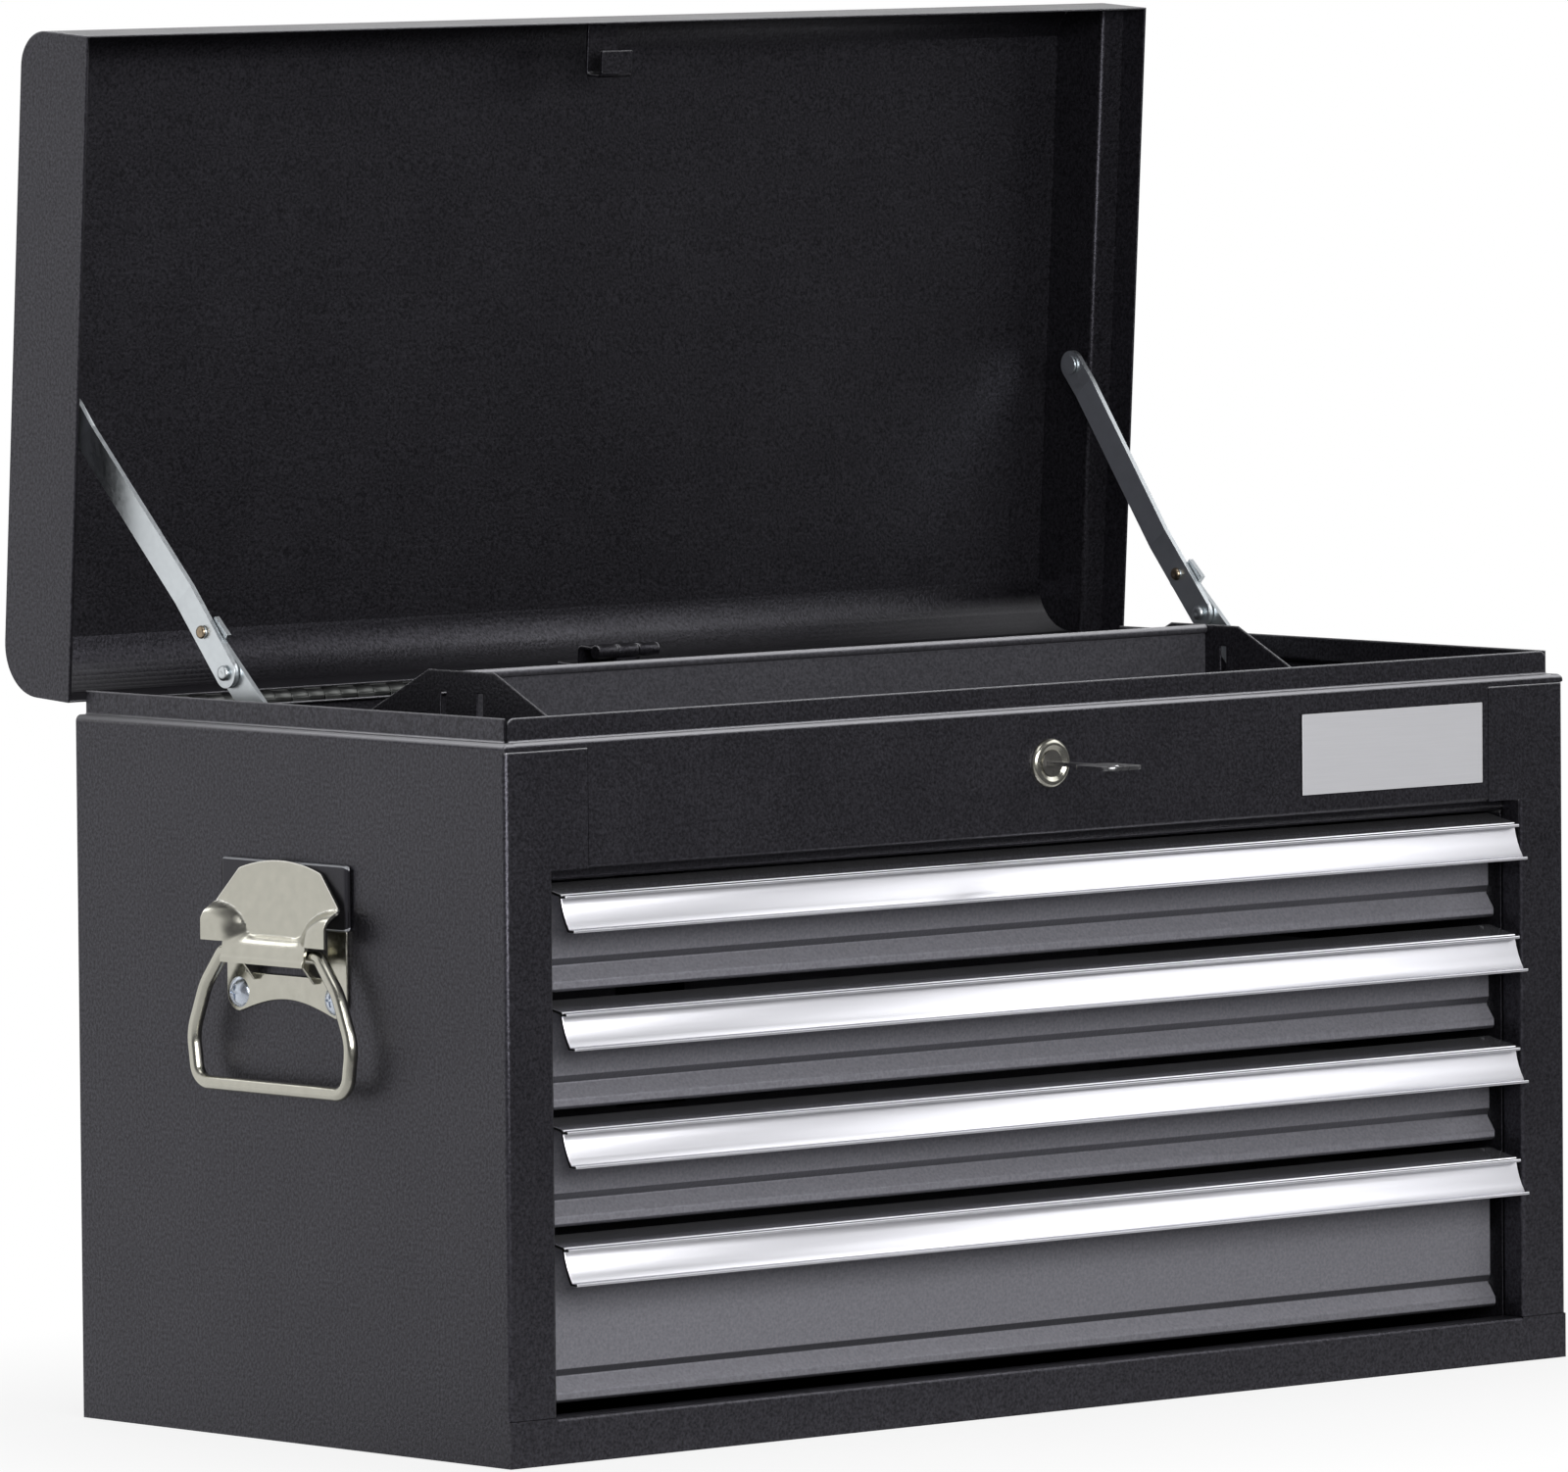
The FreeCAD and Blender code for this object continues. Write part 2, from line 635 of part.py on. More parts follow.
def lid_outline(inset):
    """Rounded (y, z) outline of the lid, closed along its free edge, as a list of edges at x = 0."""
    path = [
        (LID_BACK - inset, LID_EDGE),
        (LID_BACK - inset, LID_TOP - inset),
        (LID_FRONT + inset, LID_TOP - inset),
        (LID_FRONT + inset, LID_EDGE),
    ]
    edges = rounded_line(path, [LID_REAR_RADIUS - inset, LID_FRONT_RADIUS - inset], on_yz(0))
    edges.append(Part.makeLine(Vector(0, *path[-1]), Vector(0, *path[0])))
    return edges


def lid_slab(inset, x0, x1):
    """Solid of the lid's outline between two places across the width."""
    slab = Part.Face(Part.Wire(lid_outline(inset))).extrude(Vector(x1 - x0, 0, 0))
    slab.translate(Vector(x0, 0, 0))
    return slab


def make_lid_shell():
    """Top, front and back of the lid, bent from one sheet."""
    outer = lid_slab(0, -SHELL_HALF, SHELL_HALF)
    return outer.cut(lid_slab(SHEET, -LID_HALF, LID_HALF))


def make_lid_end():
    return lid_slab(0, SHELL_HALF, LID_HALF)


def make_lid_channel():
    """Right stiffening channel inside the lid, which carries the stay."""
    low = LID_EDGE + CHANNEL_DEPTH
    path = [(SHELL_HALF, low), (CHANNEL_FACE, low), (CHANNEL_FACE, LID_TOP)]
    channel = sheet_along_y(path, -SHEET, LID_FRONT, LID_BACK)
    return channel.common(lid_slab(SHEET, 0, SHELL_HALF))


def make_lid_catch():
    """Striker: a base inside the lid's front wall and an arm that turns down and forward to a lip."""
    wall = LID_FRONT + SHEET
    arm = wall + CATCH_REACH
    high = LID_EDGE + CATCH_DEPTH
    lip = LID_EDGE + CATCH_LIP_DEPTH
    path = [(wall, high - CATCH_BASE), (wall, high), (arm, high), (arm, lip), (arm - CATCH_LIP, lip)]
    return sheet_along_x(path, -CATCH_STEEL, -CATCH_WIDTH / 2, CATCH_WIDTH / 2)


def knuckles(first):
    """Every second knuckle of the hinge, starting with the first or the second one."""
    count = int(round(HINGE_LENGTH / KNUCKLE_LENGTH))
    barrels = []
    for index in range(first, count, 2):
        x = -HINGE_LENGTH / 2 + index * KNUCKLE_LENGTH
        start = Vector(x + KNUCKLE_GAP / 2, HINGE_Y, HINGE_Z)
        end = Vector(x + KNUCKLE_LENGTH - KNUCKLE_GAP / 2, HINGE_Y, HINGE_Z)
        barrels.append((start, end))
    return barrels


def make_hinge_leaf(first, direction):
    """Hinge leaf with its knuckles, drawn with the lid closed; direction is +1 for the lid, -1 for the body."""
    far = HINGE_Z + direction * HINGE_LEAF_HEIGHT
    near = HINGE_Z + direction * (KNUCKLE_RADIUS + 2 * KNUCKLE_GAP)
    leaf = box(-HINGE_LENGTH / 2, HINGE_LENGTH / 2, BACK, BACK + HINGE_LEAF, near, far)
    solids = [leaf]
    for start, end in knuckles(first):
        tongue = box(start.x, end.x, BACK, BACK + HINGE_LEAF, HINGE_Z, near)
        solids.append(rod(KNUCKLE_RADIUS, start, end))
        solids.append(tongue)
    ends = Vector(HINGE_LENGTH, 0, 0)
    axis = Vector(0, HINGE_Y, HINGE_Z)
    bore = rod(HINGE_PIN_RADIUS + RUNNING_GAP, axis - ends, axis + ends)
    return fused(solids).cut(bore)


def make_hinge_pin():
    axis = Vector(0, HINGE_Y, HINGE_Z)
    half = Vector(HINGE_LENGTH / 2, 0, 0)
    return rod(HINGE_PIN_RADIUS, axis - half, axis + half)


def stay_points():
    """Pin on the lid, elbow and pin on the cabinet in the open rest pose, as (y, z) vectors."""
    closed = Vector(0, HINGE_Y - STAY_PIN_FORWARD, HINGE_Z + STAY_PIN_RISE)
    lid_pin = FreeCAD.Placement(Vector(), FreeCAD.Rotation(Vector(1, 0, 0), -LID_OPEN),
                                Vector(0, HINGE_Y, HINGE_Z)).multVec(closed)
    upper = math.radians(STAY_UPPER_SLOPE)
    lower = math.radians(STAY_LOWER_SLOPE)
    elbow = lid_pin - Vector(0, math.cos(upper), math.sin(upper)) * STAY_UPPER_LENGTH
    body_pin = elbow - Vector(0, math.cos(lower), math.sin(lower)) * STAY_LOWER_LENGTH
    return lid_pin, elbow, body_pin


def stay_bar(start, end, after, x, width):
    """Flat bar with round ends around two points, lengthened by after, from x to x + width."""
    along = (end - start).normalize()
    first = start
    last = end + along * after
    side = Vector(0, -along.z, along.y) * (STAY_BAR_WIDTH / 2)
    offset = Vector(x, 0, 0)
    thick = Vector(width, 0, 0)
    corners = [first + side, last + side, last - side, first - side]
    outline = [offset + Vector(0, c.y, c.z) for c in corners]
    flat_part = Part.Face(Part.makePolygon(outline + outline[:1])).extrude(thick)
    ends = [rod(STAY_BAR_WIDTH / 2, offset + Vector(0, p.y, p.z), offset + thick + Vector(0, p.y, p.z))
            for p in (first, last)]
    return fused([flat_part] + ends)


def across(point, x):
    """A stay point moved to a place across the width."""
    return Vector(x, point.y, point.z)


def leaning_bar(start, end, start_x, end_x):
    """Bar with round ends that is bent twice, so that its two ends lie in different planes."""
    along = (end - start).normalize()
    length = (end - start).Length
    half = STAY_BAR_WIDTH / 2
    edge = Vector(0, -along.z, along.y) * half
    path = [(-half, start_x), (STAY_PIN_FLAT, start_x), (length - STAY_ELBOW_FLAT, end_x), (length + half, end_x)]

    def place(distance, x):
        return across(start + along * distance - edge, x)

    strip = bent_sheet(path, STAY_BAR_STEEL, [BEND, BEND], place).extrude(edge * 2)
    low = min(start_x, end_x) - STAY_BAR_STEEL
    return strip.common(stay_bar(start, end, 0, low, STAY_LEAN + 3 * STAY_BAR_STEEL))


def make_stay(side):
    """Upper and lower bars of one stay; the upper bar is always on the -X side of the lower one."""
    lid_pin, elbow, body_pin = stay_points()
    lean = side * STAY_LEAN
    if side > 0:
        pin_x = INNER_SLOT
        lower_x = OUTER_SLOT - lean
    else:
        pin_x = -OUTER_SLOT - STAY_BAR_STEEL
        lower_x = -INNER_SLOT - STAY_BAR_STEEL - lean
    upper_x = pin_x - lean
    upper = leaning_bar(lid_pin, elbow, pin_x, upper_x)
    lower = stay_bar(body_pin, elbow, STAY_TAIL, lower_x, STAY_BAR_STEEL)
    hole = STAY_STUD_RADIUS + RUNNING_GAP
    span = 2 * STAY_BAR_STEEL
    upper = upper.cut(rod(hole, across(lid_pin, pin_x - span), across(lid_pin, pin_x + span)))
    lower = lower.cut(rod(hole, across(body_pin, lower_x - span), across(body_pin, lower_x + span)))
    lower = lower.cut(rod(hole, across(elbow, lower_x - span), across(elbow, lower_x + span)))
    along = (lid_pin - elbow).normalize()
    second = elbow + along * STAY_RIVET_STEP
    heads = [rod(radius, across(point, upper_x - STAY_HEAD), across(point, upper_x))
             for point, radius in ((elbow, STAY_STUD_RADIUS), (second, STAY_STUD_RADIUS))]
    upper = fused([upper] + heads)
    tail = (elbow - body_pin).normalize()
    forward = Vector(0, -tail.z, tail.y)
    ear_start = elbow + tail * (STAY_TAIL - STAY_EAR)
    ear_end = elbow + tail * STAY_TAIL
    reach = forward * (STAY_BAR_WIDTH / 2 + STAY_EAR_REACH)
    corners = [across(c, lower_x) for c in (ear_start, ear_end, ear_end + reach, ear_start + reach)]
    ear = Part.Face(Part.makePolygon(corners + corners[:1])).extrude(Vector(STAY_BAR_STEEL, 0, 0))
    return upper, fused([lower, ear])


def make_stud(point, wall, bar_low, bar_high, side):
    """Stud from a wall through a bar to a head on its far side."""
    end = min(bar_low, bar_high) - STAY_GAP
    shank = rod(STAY_STUD_RADIUS, across(point, side * wall), across(point, side * end))
    head = rod(STAY_HEAD_RADIUS, across(point, side * end), across(point, side * (end - STAY_HEAD)))
    return shank.fuse(head)


def make_lid_stay_studs():
    lid_pin, elbow, body_pin = stay_points()
    slots = {1: INNER_SLOT, -1: OUTER_SLOT}
    studs = [make_stud(lid_pin, CHANNEL_FACE, slot, slot + STAY_BAR_STEEL, side) for side, slot in slots.items()]
    return Part.makeCompound(studs)


def make_stay_brackets():
    """Angle on the compartment floor with the stud of each lower bar."""
    lid_pin, elbow, body_pin = stay_points()
    slots = {1: OUTER_SLOT - STAY_LEAN, -1: INNER_SLOT - STAY_LEAN}
    brackets = []
    for side, slot in slots.items():
        outer = BRACKET_FACE + BRACKET_STEEL
        top = body_pin.z + STAY_BAR_WIDTH / 2
        y0 = body_pin.y - BRACKET_HALF
        y1 = body_pin.y + BRACKET_HALF
        upright = box(side * BRACKET_FACE, side * outer, y0, y1, FLOOR_TOP, top)
        foot = box(side * outer, side * (outer + BRACKET_FOOT), y0, y1, FLOOR_TOP, FLOOR_TOP + BRACKET_STEEL)
        stud = make_stud(body_pin, BRACKET_FACE, slot, slot + STAY_BAR_STEEL, side)
        brackets.append(fused([upright, foot, stud]))
    return Part.makeCompound(brackets)


def lug_closed():
    """Lug pin with the lid closed."""
    turn = FreeCAD.Rotation(Vector(1, 0, 0), LID_OPEN)
    return FreeCAD.Placement(Vector(), turn, Vector(0, HINGE_Y, HINGE_Z)).multVec(Vector(0, LUG_Y, LUG_Z))


def make_lid_lug():
    """Bracket inside the lid's back wall with the pin that the lock bar hangs from, drawn closed."""
    pin = lug_closed()
    wall = LID_BACK - SHEET
    low = LID_EDGE + LID_GAP
    path = [(wall, low + LUG_BASE), (wall, low), (pin.y - LUG_STEEL / 2, low), (pin.y - LUG_STEEL / 2, pin.z)]
    plate = sheet_along_x(path, -LUG_STEEL, -LUG_HALF, LUG_HALF)
    side = Vector(1, 0, 0)
    barrels = []
    for sign in (-1, 1):
        barrels.append(rod(LUG_RADIUS, pin + side * (sign * LUG_MIDDLE_HALF), pin + side * (sign * LUG_HALF)))
    shaft = rod(LUG_PIN_RADIUS, pin - side * LUG_HALF, pin + side * LUG_HALF)
    room = LUG_RADIUS + KNUCKLE_GAP
    gap = rod(room, pin - side * LUG_MIDDLE_HALF, pin + side * LUG_MIDDLE_HALF)
    hanging = box(-LUG_MIDDLE_HALF, LUG_MIDDLE_HALF, pin.y - room, pin.y + room, pin.z - room, pin.z + room)
    return fused([plate.cut(gap).cut(hanging)] + barrels + [shaft])


def make_lock_bar():
    """Strip that hangs behind the drawers, with a hook over the back wall of each drawer box."""
    pin = Vector(0, LUG_Y, LUG_Z)
    side = Vector(1, 0, 0)
    eye_half = LUG_MIDDLE_HALF - KNUCKLE_GAP
    eye = rod(LUG_RADIUS, pin - side * eye_half, pin + side * eye_half)
    levels = drawer_levels()
    bottom = levels[-1][2] + HOOK_RISE - LOCK_BAR_STEEL
    y0 = LUG_Y - LOCK_BAR_STEEL / 2
    y1 = LUG_Y + LOCK_BAR_STEEL / 2
    neck_low = LUG_Z - 2 * LUG_RADIUS - LUG_RISE
    neck = box(-eye_half, eye_half, y0, y1, neck_low, LUG_Z)
    solids = [eye, neck, box(-LOCK_BAR_HALF, LOCK_BAR_HALF, y0, y1, bottom, neck_low)]
    tip = BOX_BACK - SHEET - HOOK_REACH
    for top, foot, box_top in levels:
        arm = box_top + HOOK_RISE
        solids.append(box(-HOOK_HALF, HOOK_HALF, tip, y0, arm, arm + LOCK_BAR_STEEL))
        solids.append(box(-HOOK_HALF, HOOK_HALF, tip - LOCK_BAR_STEEL, tip, box_top + HOOK_TIP_GAP,
                          arm + LOCK_BAR_STEEL))
    bore = rod(LUG_PIN_RADIUS + RUNNING_GAP, pin - side * LUG_HALF, pin + side * LUG_HALF)
    return fused(solids).cut(bore)


def make_lock_housing():
    """Round bezel and barrel of the cam lock."""
    front = Vector(0, FRONT - BEZEL_PROUD, LOCK_Z)
    face = Vector(0, FRONT, LOCK_Z)
    back = Vector(0, BARREL_BACK, LOCK_Z)
    bezel = rod(BEZEL_RADIUS, front, face)
    bezel = bezel.makeFillet(BEZEL_PROUD * 0.9, [edge for edge in bezel.Edges
                                                 if abs(edge.CenterOfMass.y - front.y) < SEAM and edge.isClosed()])
    bezel = bezel.cut(Part.makeCone(BEZEL_BEVEL_RADIUS, PLUG_RADIUS, BEZEL_BEVEL, front, Vector(0, 1, 0)))
    barrel = rod(BARREL_RADIUS, face, back)
    bore = rod(PLUG_RADIUS + RUNNING_GAP, front - Vector(0, SHEET, 0), back + Vector(0, SHEET, 0))
    return bezel.fuse(barrel).cut(bore)


def make_lock_nut():
    y0 = FRONT + SHEET
    corners = []
    for index in range(6):
        angle = math.radians(60 * index)
        corners.append(Vector(LOCK_NUT_RADIUS * math.cos(angle), y0, LOCK_Z + LOCK_NUT_RADIUS * math.sin(angle)))
    nut = Part.Face(Part.makePolygon(corners + corners[:1])).extrude(Vector(0, LOCK_NUT, 0))
    return nut.cut(rod(BARREL_RADIUS, Vector(0, y0 - SHEET, LOCK_Z), Vector(0, y0 + 2 * LOCK_NUT, LOCK_Z)))


def make_lock_plug():
    """Turning plug with its key slot and the stub that carries the cam."""
    front = FRONT - BEZEL_PROUD + PLUG_RECESS
    plug = rod(PLUG_RADIUS, Vector(0, front, LOCK_Z), Vector(0, BARREL_BACK + RUNNING_GAP, LOCK_Z))
    stub = rod(CAM_BORE_RADIUS, Vector(0, BARREL_BACK, LOCK_Z), Vector(0, BARREL_BACK + 2 * CAM_STEEL, LOCK_Z))
    half = KEY_BLADE / 2 + KEY_GAP
    thick = KEY_STEEL / 2 + KEY_GAP
    slot = box(-half, half, front - SHEET, front + KEY_BLADE_INSIDE + KEY_GAP, LOCK_Z - thick, LOCK_Z + thick)
    return plug.fuse(stub).cut(slot)


def make_key():
    """Flat key, its blade in the plug and its bow standing straight out."""
    inside = FRONT - BEZEL_PROUD + PLUG_RECESS + KEY_BLADE_INSIDE
    tip = FRONT - KEY_REACH
    low = LOCK_Z - KEY_STEEL / 2
    high = LOCK_Z + KEY_STEEL / 2
    bow_middle = tip + KEY_BOW_LENGTH / 2
    blade = box(-KEY_BLADE / 2, KEY_BLADE / 2, bow_middle, inside, low, high)
    bow = box(-KEY_BOW_WIDTH / 2, KEY_BOW_WIDTH / 2, tip, tip + KEY_BOW_LENGTH, low, high)
    upright = [edge for edge in bow.Edges if edge.Length < 2 * KEY_STEEL]
    bow = bow.makeFillet(KEY_BOW_WIDTH / 4, upright)
    hole_y = tip + KEY_BOW_LENGTH / 4
    hole = rod(KEY_HOLE_RADIUS, Vector(0, hole_y, low - SHEET), Vector(0, hole_y, high + SHEET))
    return blade.fuse(bow).removeSplitter().cut(hole)


def make_cam():
    """Hook cam: an arm beside the striker and a finger that swings over its lip."""
    y0 = BARREL_BACK + RUNNING_GAP
    centre = Vector(0, y0, LOCK_Z)
    lip_top = LID_EDGE + CATCH_LIP_DEPTH + CATCH_STEEL
    inner = math.hypot(lip_top - LOCK_Z, CATCH_WIDTH / 2) + CAM_CLEAR
    thick = Vector(0, CAM_STEEL, 0)

    def sector(r0, r1, start, sweep):
        """Flat sector between two radii; angles are from straight up towards +X."""
        points = []
        for radius, angle in ((r0, start), (r1, start), (r1, start + sweep), (r0, start + sweep)):
            turn = math.radians(angle)
            points.append(centre + Vector(radius * math.sin(turn), 0, radius * math.cos(turn)))
        mid = math.radians(start + sweep / 2)
        out = centre + Vector(r1 * math.sin(mid), 0, r1 * math.cos(mid))
        back = centre + Vector(r0 * math.sin(mid), 0, r0 * math.cos(mid))
        edges = [
            Part.makeLine(points[0], points[1]),
            Part.Arc(points[1], out, points[2]).toShape(),
            Part.makeLine(points[2], points[3]),
            Part.Arc(points[3], back, points[0]).toShape(),
        ]
        return Part.Face(Part.Wire(edges)).extrude(thick)

    hub = Part.makeCylinder(PLUG_RADIUS, CAM_STEEL, centre, Vector(0, 1, 0))
    arm_start = CAM_FINGER_SWEEP - CAM_ARM_SWEEP
    arm = sector(CAM_BORE_RADIUS + SHEET, inner + CAM_FINGER, arm_start, CAM_ARM_SWEEP)
    finger = sector(inner, inner + CAM_FINGER, 0, CAM_FINGER_SWEEP)
    bore = Part.makeCylinder(CAM_BORE_RADIUS, 3 * CAM_STEEL, centre - thick, Vector(0, 1, 0))
    cam = fused([hub, arm, finger]).cut(bore)
    cam.rotate(centre, Vector(0, 1, 0), CAM_REST_TURN)
    return cam


def make_label_plate():
    x = HALF - PLATE_INSET
    z = LEDGE_HEIGHT - PLATE_DROP
    return box(x - PLATE_LENGTH, x, FRONT - PLATE_STEEL, FRONT, z - PLATE_HEIGHT / 2, z + PLATE_HEIGHT / 2)


def make_grip_backing():
    return box(HALF, HALF + GRIP_BACKING_STEEL, -GRIP_BACKING_HALF, GRIP_BACKING_HALF,
               GRIP_TOP - GRIP_BACKING_HEIGHT, GRIP_TOP)


def make_grip_flange():
    """Arched strip below the hood, which goes on behind it up to the backing, with two eyes for the pins."""
    x1 = HALF + GRIP_STEEL
    wire = BAIL_WIRE / 2
    high = GRIP_BOTTOM - GRIP_FLANGE_DROP
    low = high - GRIP_FLANGE_HEIGHT
    half = GRIP_SCREW_HALF
    corners = [Vector(HALF, -half, low), Vector(HALF, -half, high), Vector(HALF, half, high), Vector(HALF, half, low)]
    edges = [Part.makeLine(a, b) for a, b in zip(corners, corners[1:])]
    edges.append(Part.Arc(corners[3], Vector(HALF, 0, low + GRIP_FLANGE_ARCH), corners[0]).toShape())
    solids = [Part.Face(Part.Wire(edges)).extrude(Vector(GRIP_STEEL, 0, 0))]
    middle = GRIP_BOTTOM - GRIP_SCREW_DROP
    for side in (-1, 1):
        y = side * half
        solids.append(rod(GRIP_FLANGE_RADIUS, Vector(HALF, y, middle), Vector(x1, y, middle)))
        y0 = side * GRIP_EYE_HALF
        y1 = side * (GRIP_EYE_HALF - GRIP_STEEL)
        solids.append(rod(wire + GRIP_EYE_WALL, Vector(GRIP_PIVOT_X, y0, GRIP_PIVOT_Z),
                          Vector(GRIP_PIVOT_X, y1, GRIP_PIVOT_Z)))
        solids.append(box(HALF, GRIP_PIVOT_X, y0, y1, GRIP_PIVOT_Z - wire, GRIP_PIVOT_Z + wire))
    edge = half + GRIP_FLANGE_RADIUS
    solids.append(box(HALF, x1, -edge, edge, middle, GRIP_TOP - GRIP_BACKING_HEIGHT))
    return fused(solids)


def make_grip_ear():
    """Hollow bulge beside the hood on the +Y side, open at its outer end and below."""
    out = HALF + GRIP_HOOD_PROUD
    low = GRIP_BOTTOM + GRIP_EAR_RISE
    high = low + GRIP_EAR_HEIGHT
    start = GRIP_HOOD_HALF - GRIP_STEEL

    def bulge(inset, bottom, y0):
        back = HALF + GRIP_BACKING_STEEL
        path = [(back, high - inset), (out - inset, high - inset), (out - inset, bottom)]
        edges = rounded_line(path, [GRIP_EAR_BEND + GRIP_STEEL - inset], on_xz(y0))
        edges.append(Part.makeLine(Vector(out - inset, y0, bottom), Vector(back, y0, bottom)))
        edges.append(Part.makeLine(Vector(back, y0, bottom), Vector(back, y0, high - inset)))
        return Part.Face(Part.Wire(edges)).extrude(Vector(0, GRIP_EAR_HALF - start, 0))

    return bulge(0, low, start).cut(bulge(GRIP_STEEL, low - SHEET, GRIP_HOOD_HALF))


def make_grip_plate():
    """Pressed plate: a shield over a hood that covers the bail's pins, with an ear on each side and a flange below."""
    out = HALF + GRIP_HOOD_PROUD
    valley = GRIP_BOTTOM + GRIP_VALLEY_RISE
    crown = GRIP_TOP + GRIP_CROWN
    top_x = HALF + GRIP_BACKING_STEEL + GRIP_STEEL
    path = [(out, GRIP_BOTTOM), (out, valley), (HALF + GRIP_VALLEY_PROUD, valley), (top_x, crown)]
    hood = sheet_along_y(path, GRIP_STEEL, -GRIP_SHOULDER_HALF, GRIP_SHOULDER_HALF, [GRIP_HOOD_BEND, BEND])
    shoulder = GRIP_BOTTOM + GRIP_EAR_RISE + GRIP_EAR_HEIGHT
    left_edge = [
        (-GRIP_HOOD_HALF, GRIP_BOTTOM),
        (-GRIP_HOOD_HALF, valley),
        (-GRIP_SHOULDER_HALF, shoulder),
        (-GRIP_TOP_HALF, crown - GRIP_CROWN_SAG),
    ]
    corners = [Vector(0, y, z) for y, z in left_edge]
    other = [Vector(0, -c.y, c.z) for c in reversed(corners)]
    edges = [Part.makeLine(a, b) for a, b in zip(corners, corners[1:])]
    edges.append(Part.Arc(corners[-1], Vector(0, 0, crown), other[0]).toShape())
    edges.extend(Part.makeLine(a, b) for a, b in zip(other, other[1:]))
    edges.append(Part.makeLine(other[-1], corners[0]))
    shield = Part.Face(Part.Wire(edges)).extrude(Vector(HALF + WIDTH, 0, 0))
    ear = make_grip_ear()
    far_ear = ear.mirror(Vector(0, 0, 0), Vector(0, 1, 0))
    plate = fused([hood.common(shield), make_grip_flange(), ear, far_ear])
    for y, z in grip_screw_places():
        plate = plate.cut(rod(SCREW_RADIUS + SCREW_HOLE_GAP, Vector(HALF - SHEET, y, z), Vector(out, y, z)))
    bore_end = Vector(0, GRIP_HOOD_HALF, 0)
    pin = Vector(GRIP_PIVOT_X, 0, GRIP_PIVOT_Z)
    return plate.cut(rod(BAIL_WIRE / 2 + RUNNING_GAP, pin - bore_end, pin + bore_end))


def grip_screw_places():
    return [(side * GRIP_SCREW_HALF, GRIP_BOTTOM - GRIP_SCREW_DROP) for side in (-1, 1)]


def make_grip_screws():
    """Two dome-head cross screws through the plate and the side panel."""
    ball = (SCREW_HEAD_RADIUS ** 2 + SCREW_HEAD ** 2) / (2 * SCREW_HEAD)
    half_length = SCREW_CROSS_LENGTH / 2
    half_width = SCREW_CROSS_WIDTH / 2
    screws = []
    for y, z in grip_screw_places():
        seat = Vector(HALF + GRIP_STEEL, y, z)
        tip = seat + Vector(SCREW_HEAD, 0, 0)
        shank = rod(SCREW_RADIUS, seat - Vector(SCREW_LENGTH, 0, 0), seat)
        head = Part.makeSphere(ball, tip - Vector(ball, 0, 0)).common(rod(2 * ball, seat, seat + Vector(ball, 0, 0)))
        floor = tip.x - SCREW_CROSS_DEPTH
        for wide, tall in ((half_length, half_width), (half_width, half_length)):
            head = head.cut(box(floor, tip.x + SHEET, y - wide, y + wide, z - tall, z + tall))
        screws.append(shank.fuse(head))
    return screws


def make_bail():
    """Wire bail: two pins turned in under the hood, bowed legs and a straight grip."""
    top = GRIP_PIVOT_Z
    leg = [
        (BAIL_PIN_INNER, top),
        (BAIL_PIN_HALF, top),
        (BAIL_KNEE_HALF, top - BAIL_KNEE_DROP),
        (BAIL_WIDE_HALF, top - BAIL_WIDE_DROP),
        (BAIL_FOOT_HALF, top - BAIL_DROP),
    ]
    bends = [BAIL_PIN_BEND, BAIL_KNEE_BEND, BAIL_WIDE_BEND, BAIL_FOOT_BEND]
    points = [(-y, z) for y, z in leg] + leg[::-1]
    line = Part.Wire(rounded_line(points, bends + bends[::-1], on_yz(GRIP_PIVOT_X)))
    start = Vector(GRIP_PIVOT_X, -BAIL_PIN_INNER, top)
    section = Part.Wire(Part.Circle(start, Vector(0, 1, 0), BAIL_WIRE / 2).toShape())
    return line.makePipeShell([section], True, False)


def make_tray_pan():
    """Front wall, bottom and back wall of the tray, bent from one sheet."""
    top = TRAY_BOTTOM + TRAY_WALL
    path = [(TRAY_FRONT, top), (TRAY_FRONT, TRAY_BOTTOM), (TRAY_BACK, TRAY_BOTTOM), (TRAY_BACK, top)]
    inner = TRAY_HALF - TRAY_STEEL
    return sheet_along_x(path, TRAY_STEEL, -inner, inner)


def make_tray_end():
    """Right end of the tray: it rises to the middle and has two slots and a square window."""
    wall = TRAY_BOTTOM + TRAY_WALL
    peak = TRAY_BOTTOM + TRAY_RISE
    points = [
        (TRAY_FRONT, TRAY_BOTTOM),
        (TRAY_BACK, TRAY_BOTTOM),
        (TRAY_BACK, wall),
        (TRAY_MIDDLE + TRAY_CROWN_HALF, peak),
        (TRAY_MIDDLE - TRAY_CROWN_HALF, peak),
        (TRAY_FRONT, wall),
    ]
    x0 = TRAY_HALF - TRAY_STEEL
    end = prism_x(points, x0, TRAY_HALF)
    top = peak - TRAY_SLOT_DROP
    for side in (-1, 1):
        y = TRAY_MIDDLE + side * TRAY_SLOT_STEP / 2
        slot = box(x0 - SHEET, TRAY_HALF + SHEET, y - TRAY_SLOT_WIDTH / 2, y + TRAY_SLOT_WIDTH / 2,
                   top - TRAY_SLOT_HEIGHT, top)
        end = end.cut(slot)
    y = TRAY_MIDDLE - TRAY_SLOT_STEP - TRAY_WINDOW / 2
    window = box(x0 - SHEET, TRAY_HALF + SHEET, y - TRAY_WINDOW / 2, y + TRAY_WINDOW / 2,
                 top - TRAY_SLOT_HEIGHT - TRAY_WINDOW, top - TRAY_SLOT_HEIGHT)
    return end.cut(window)


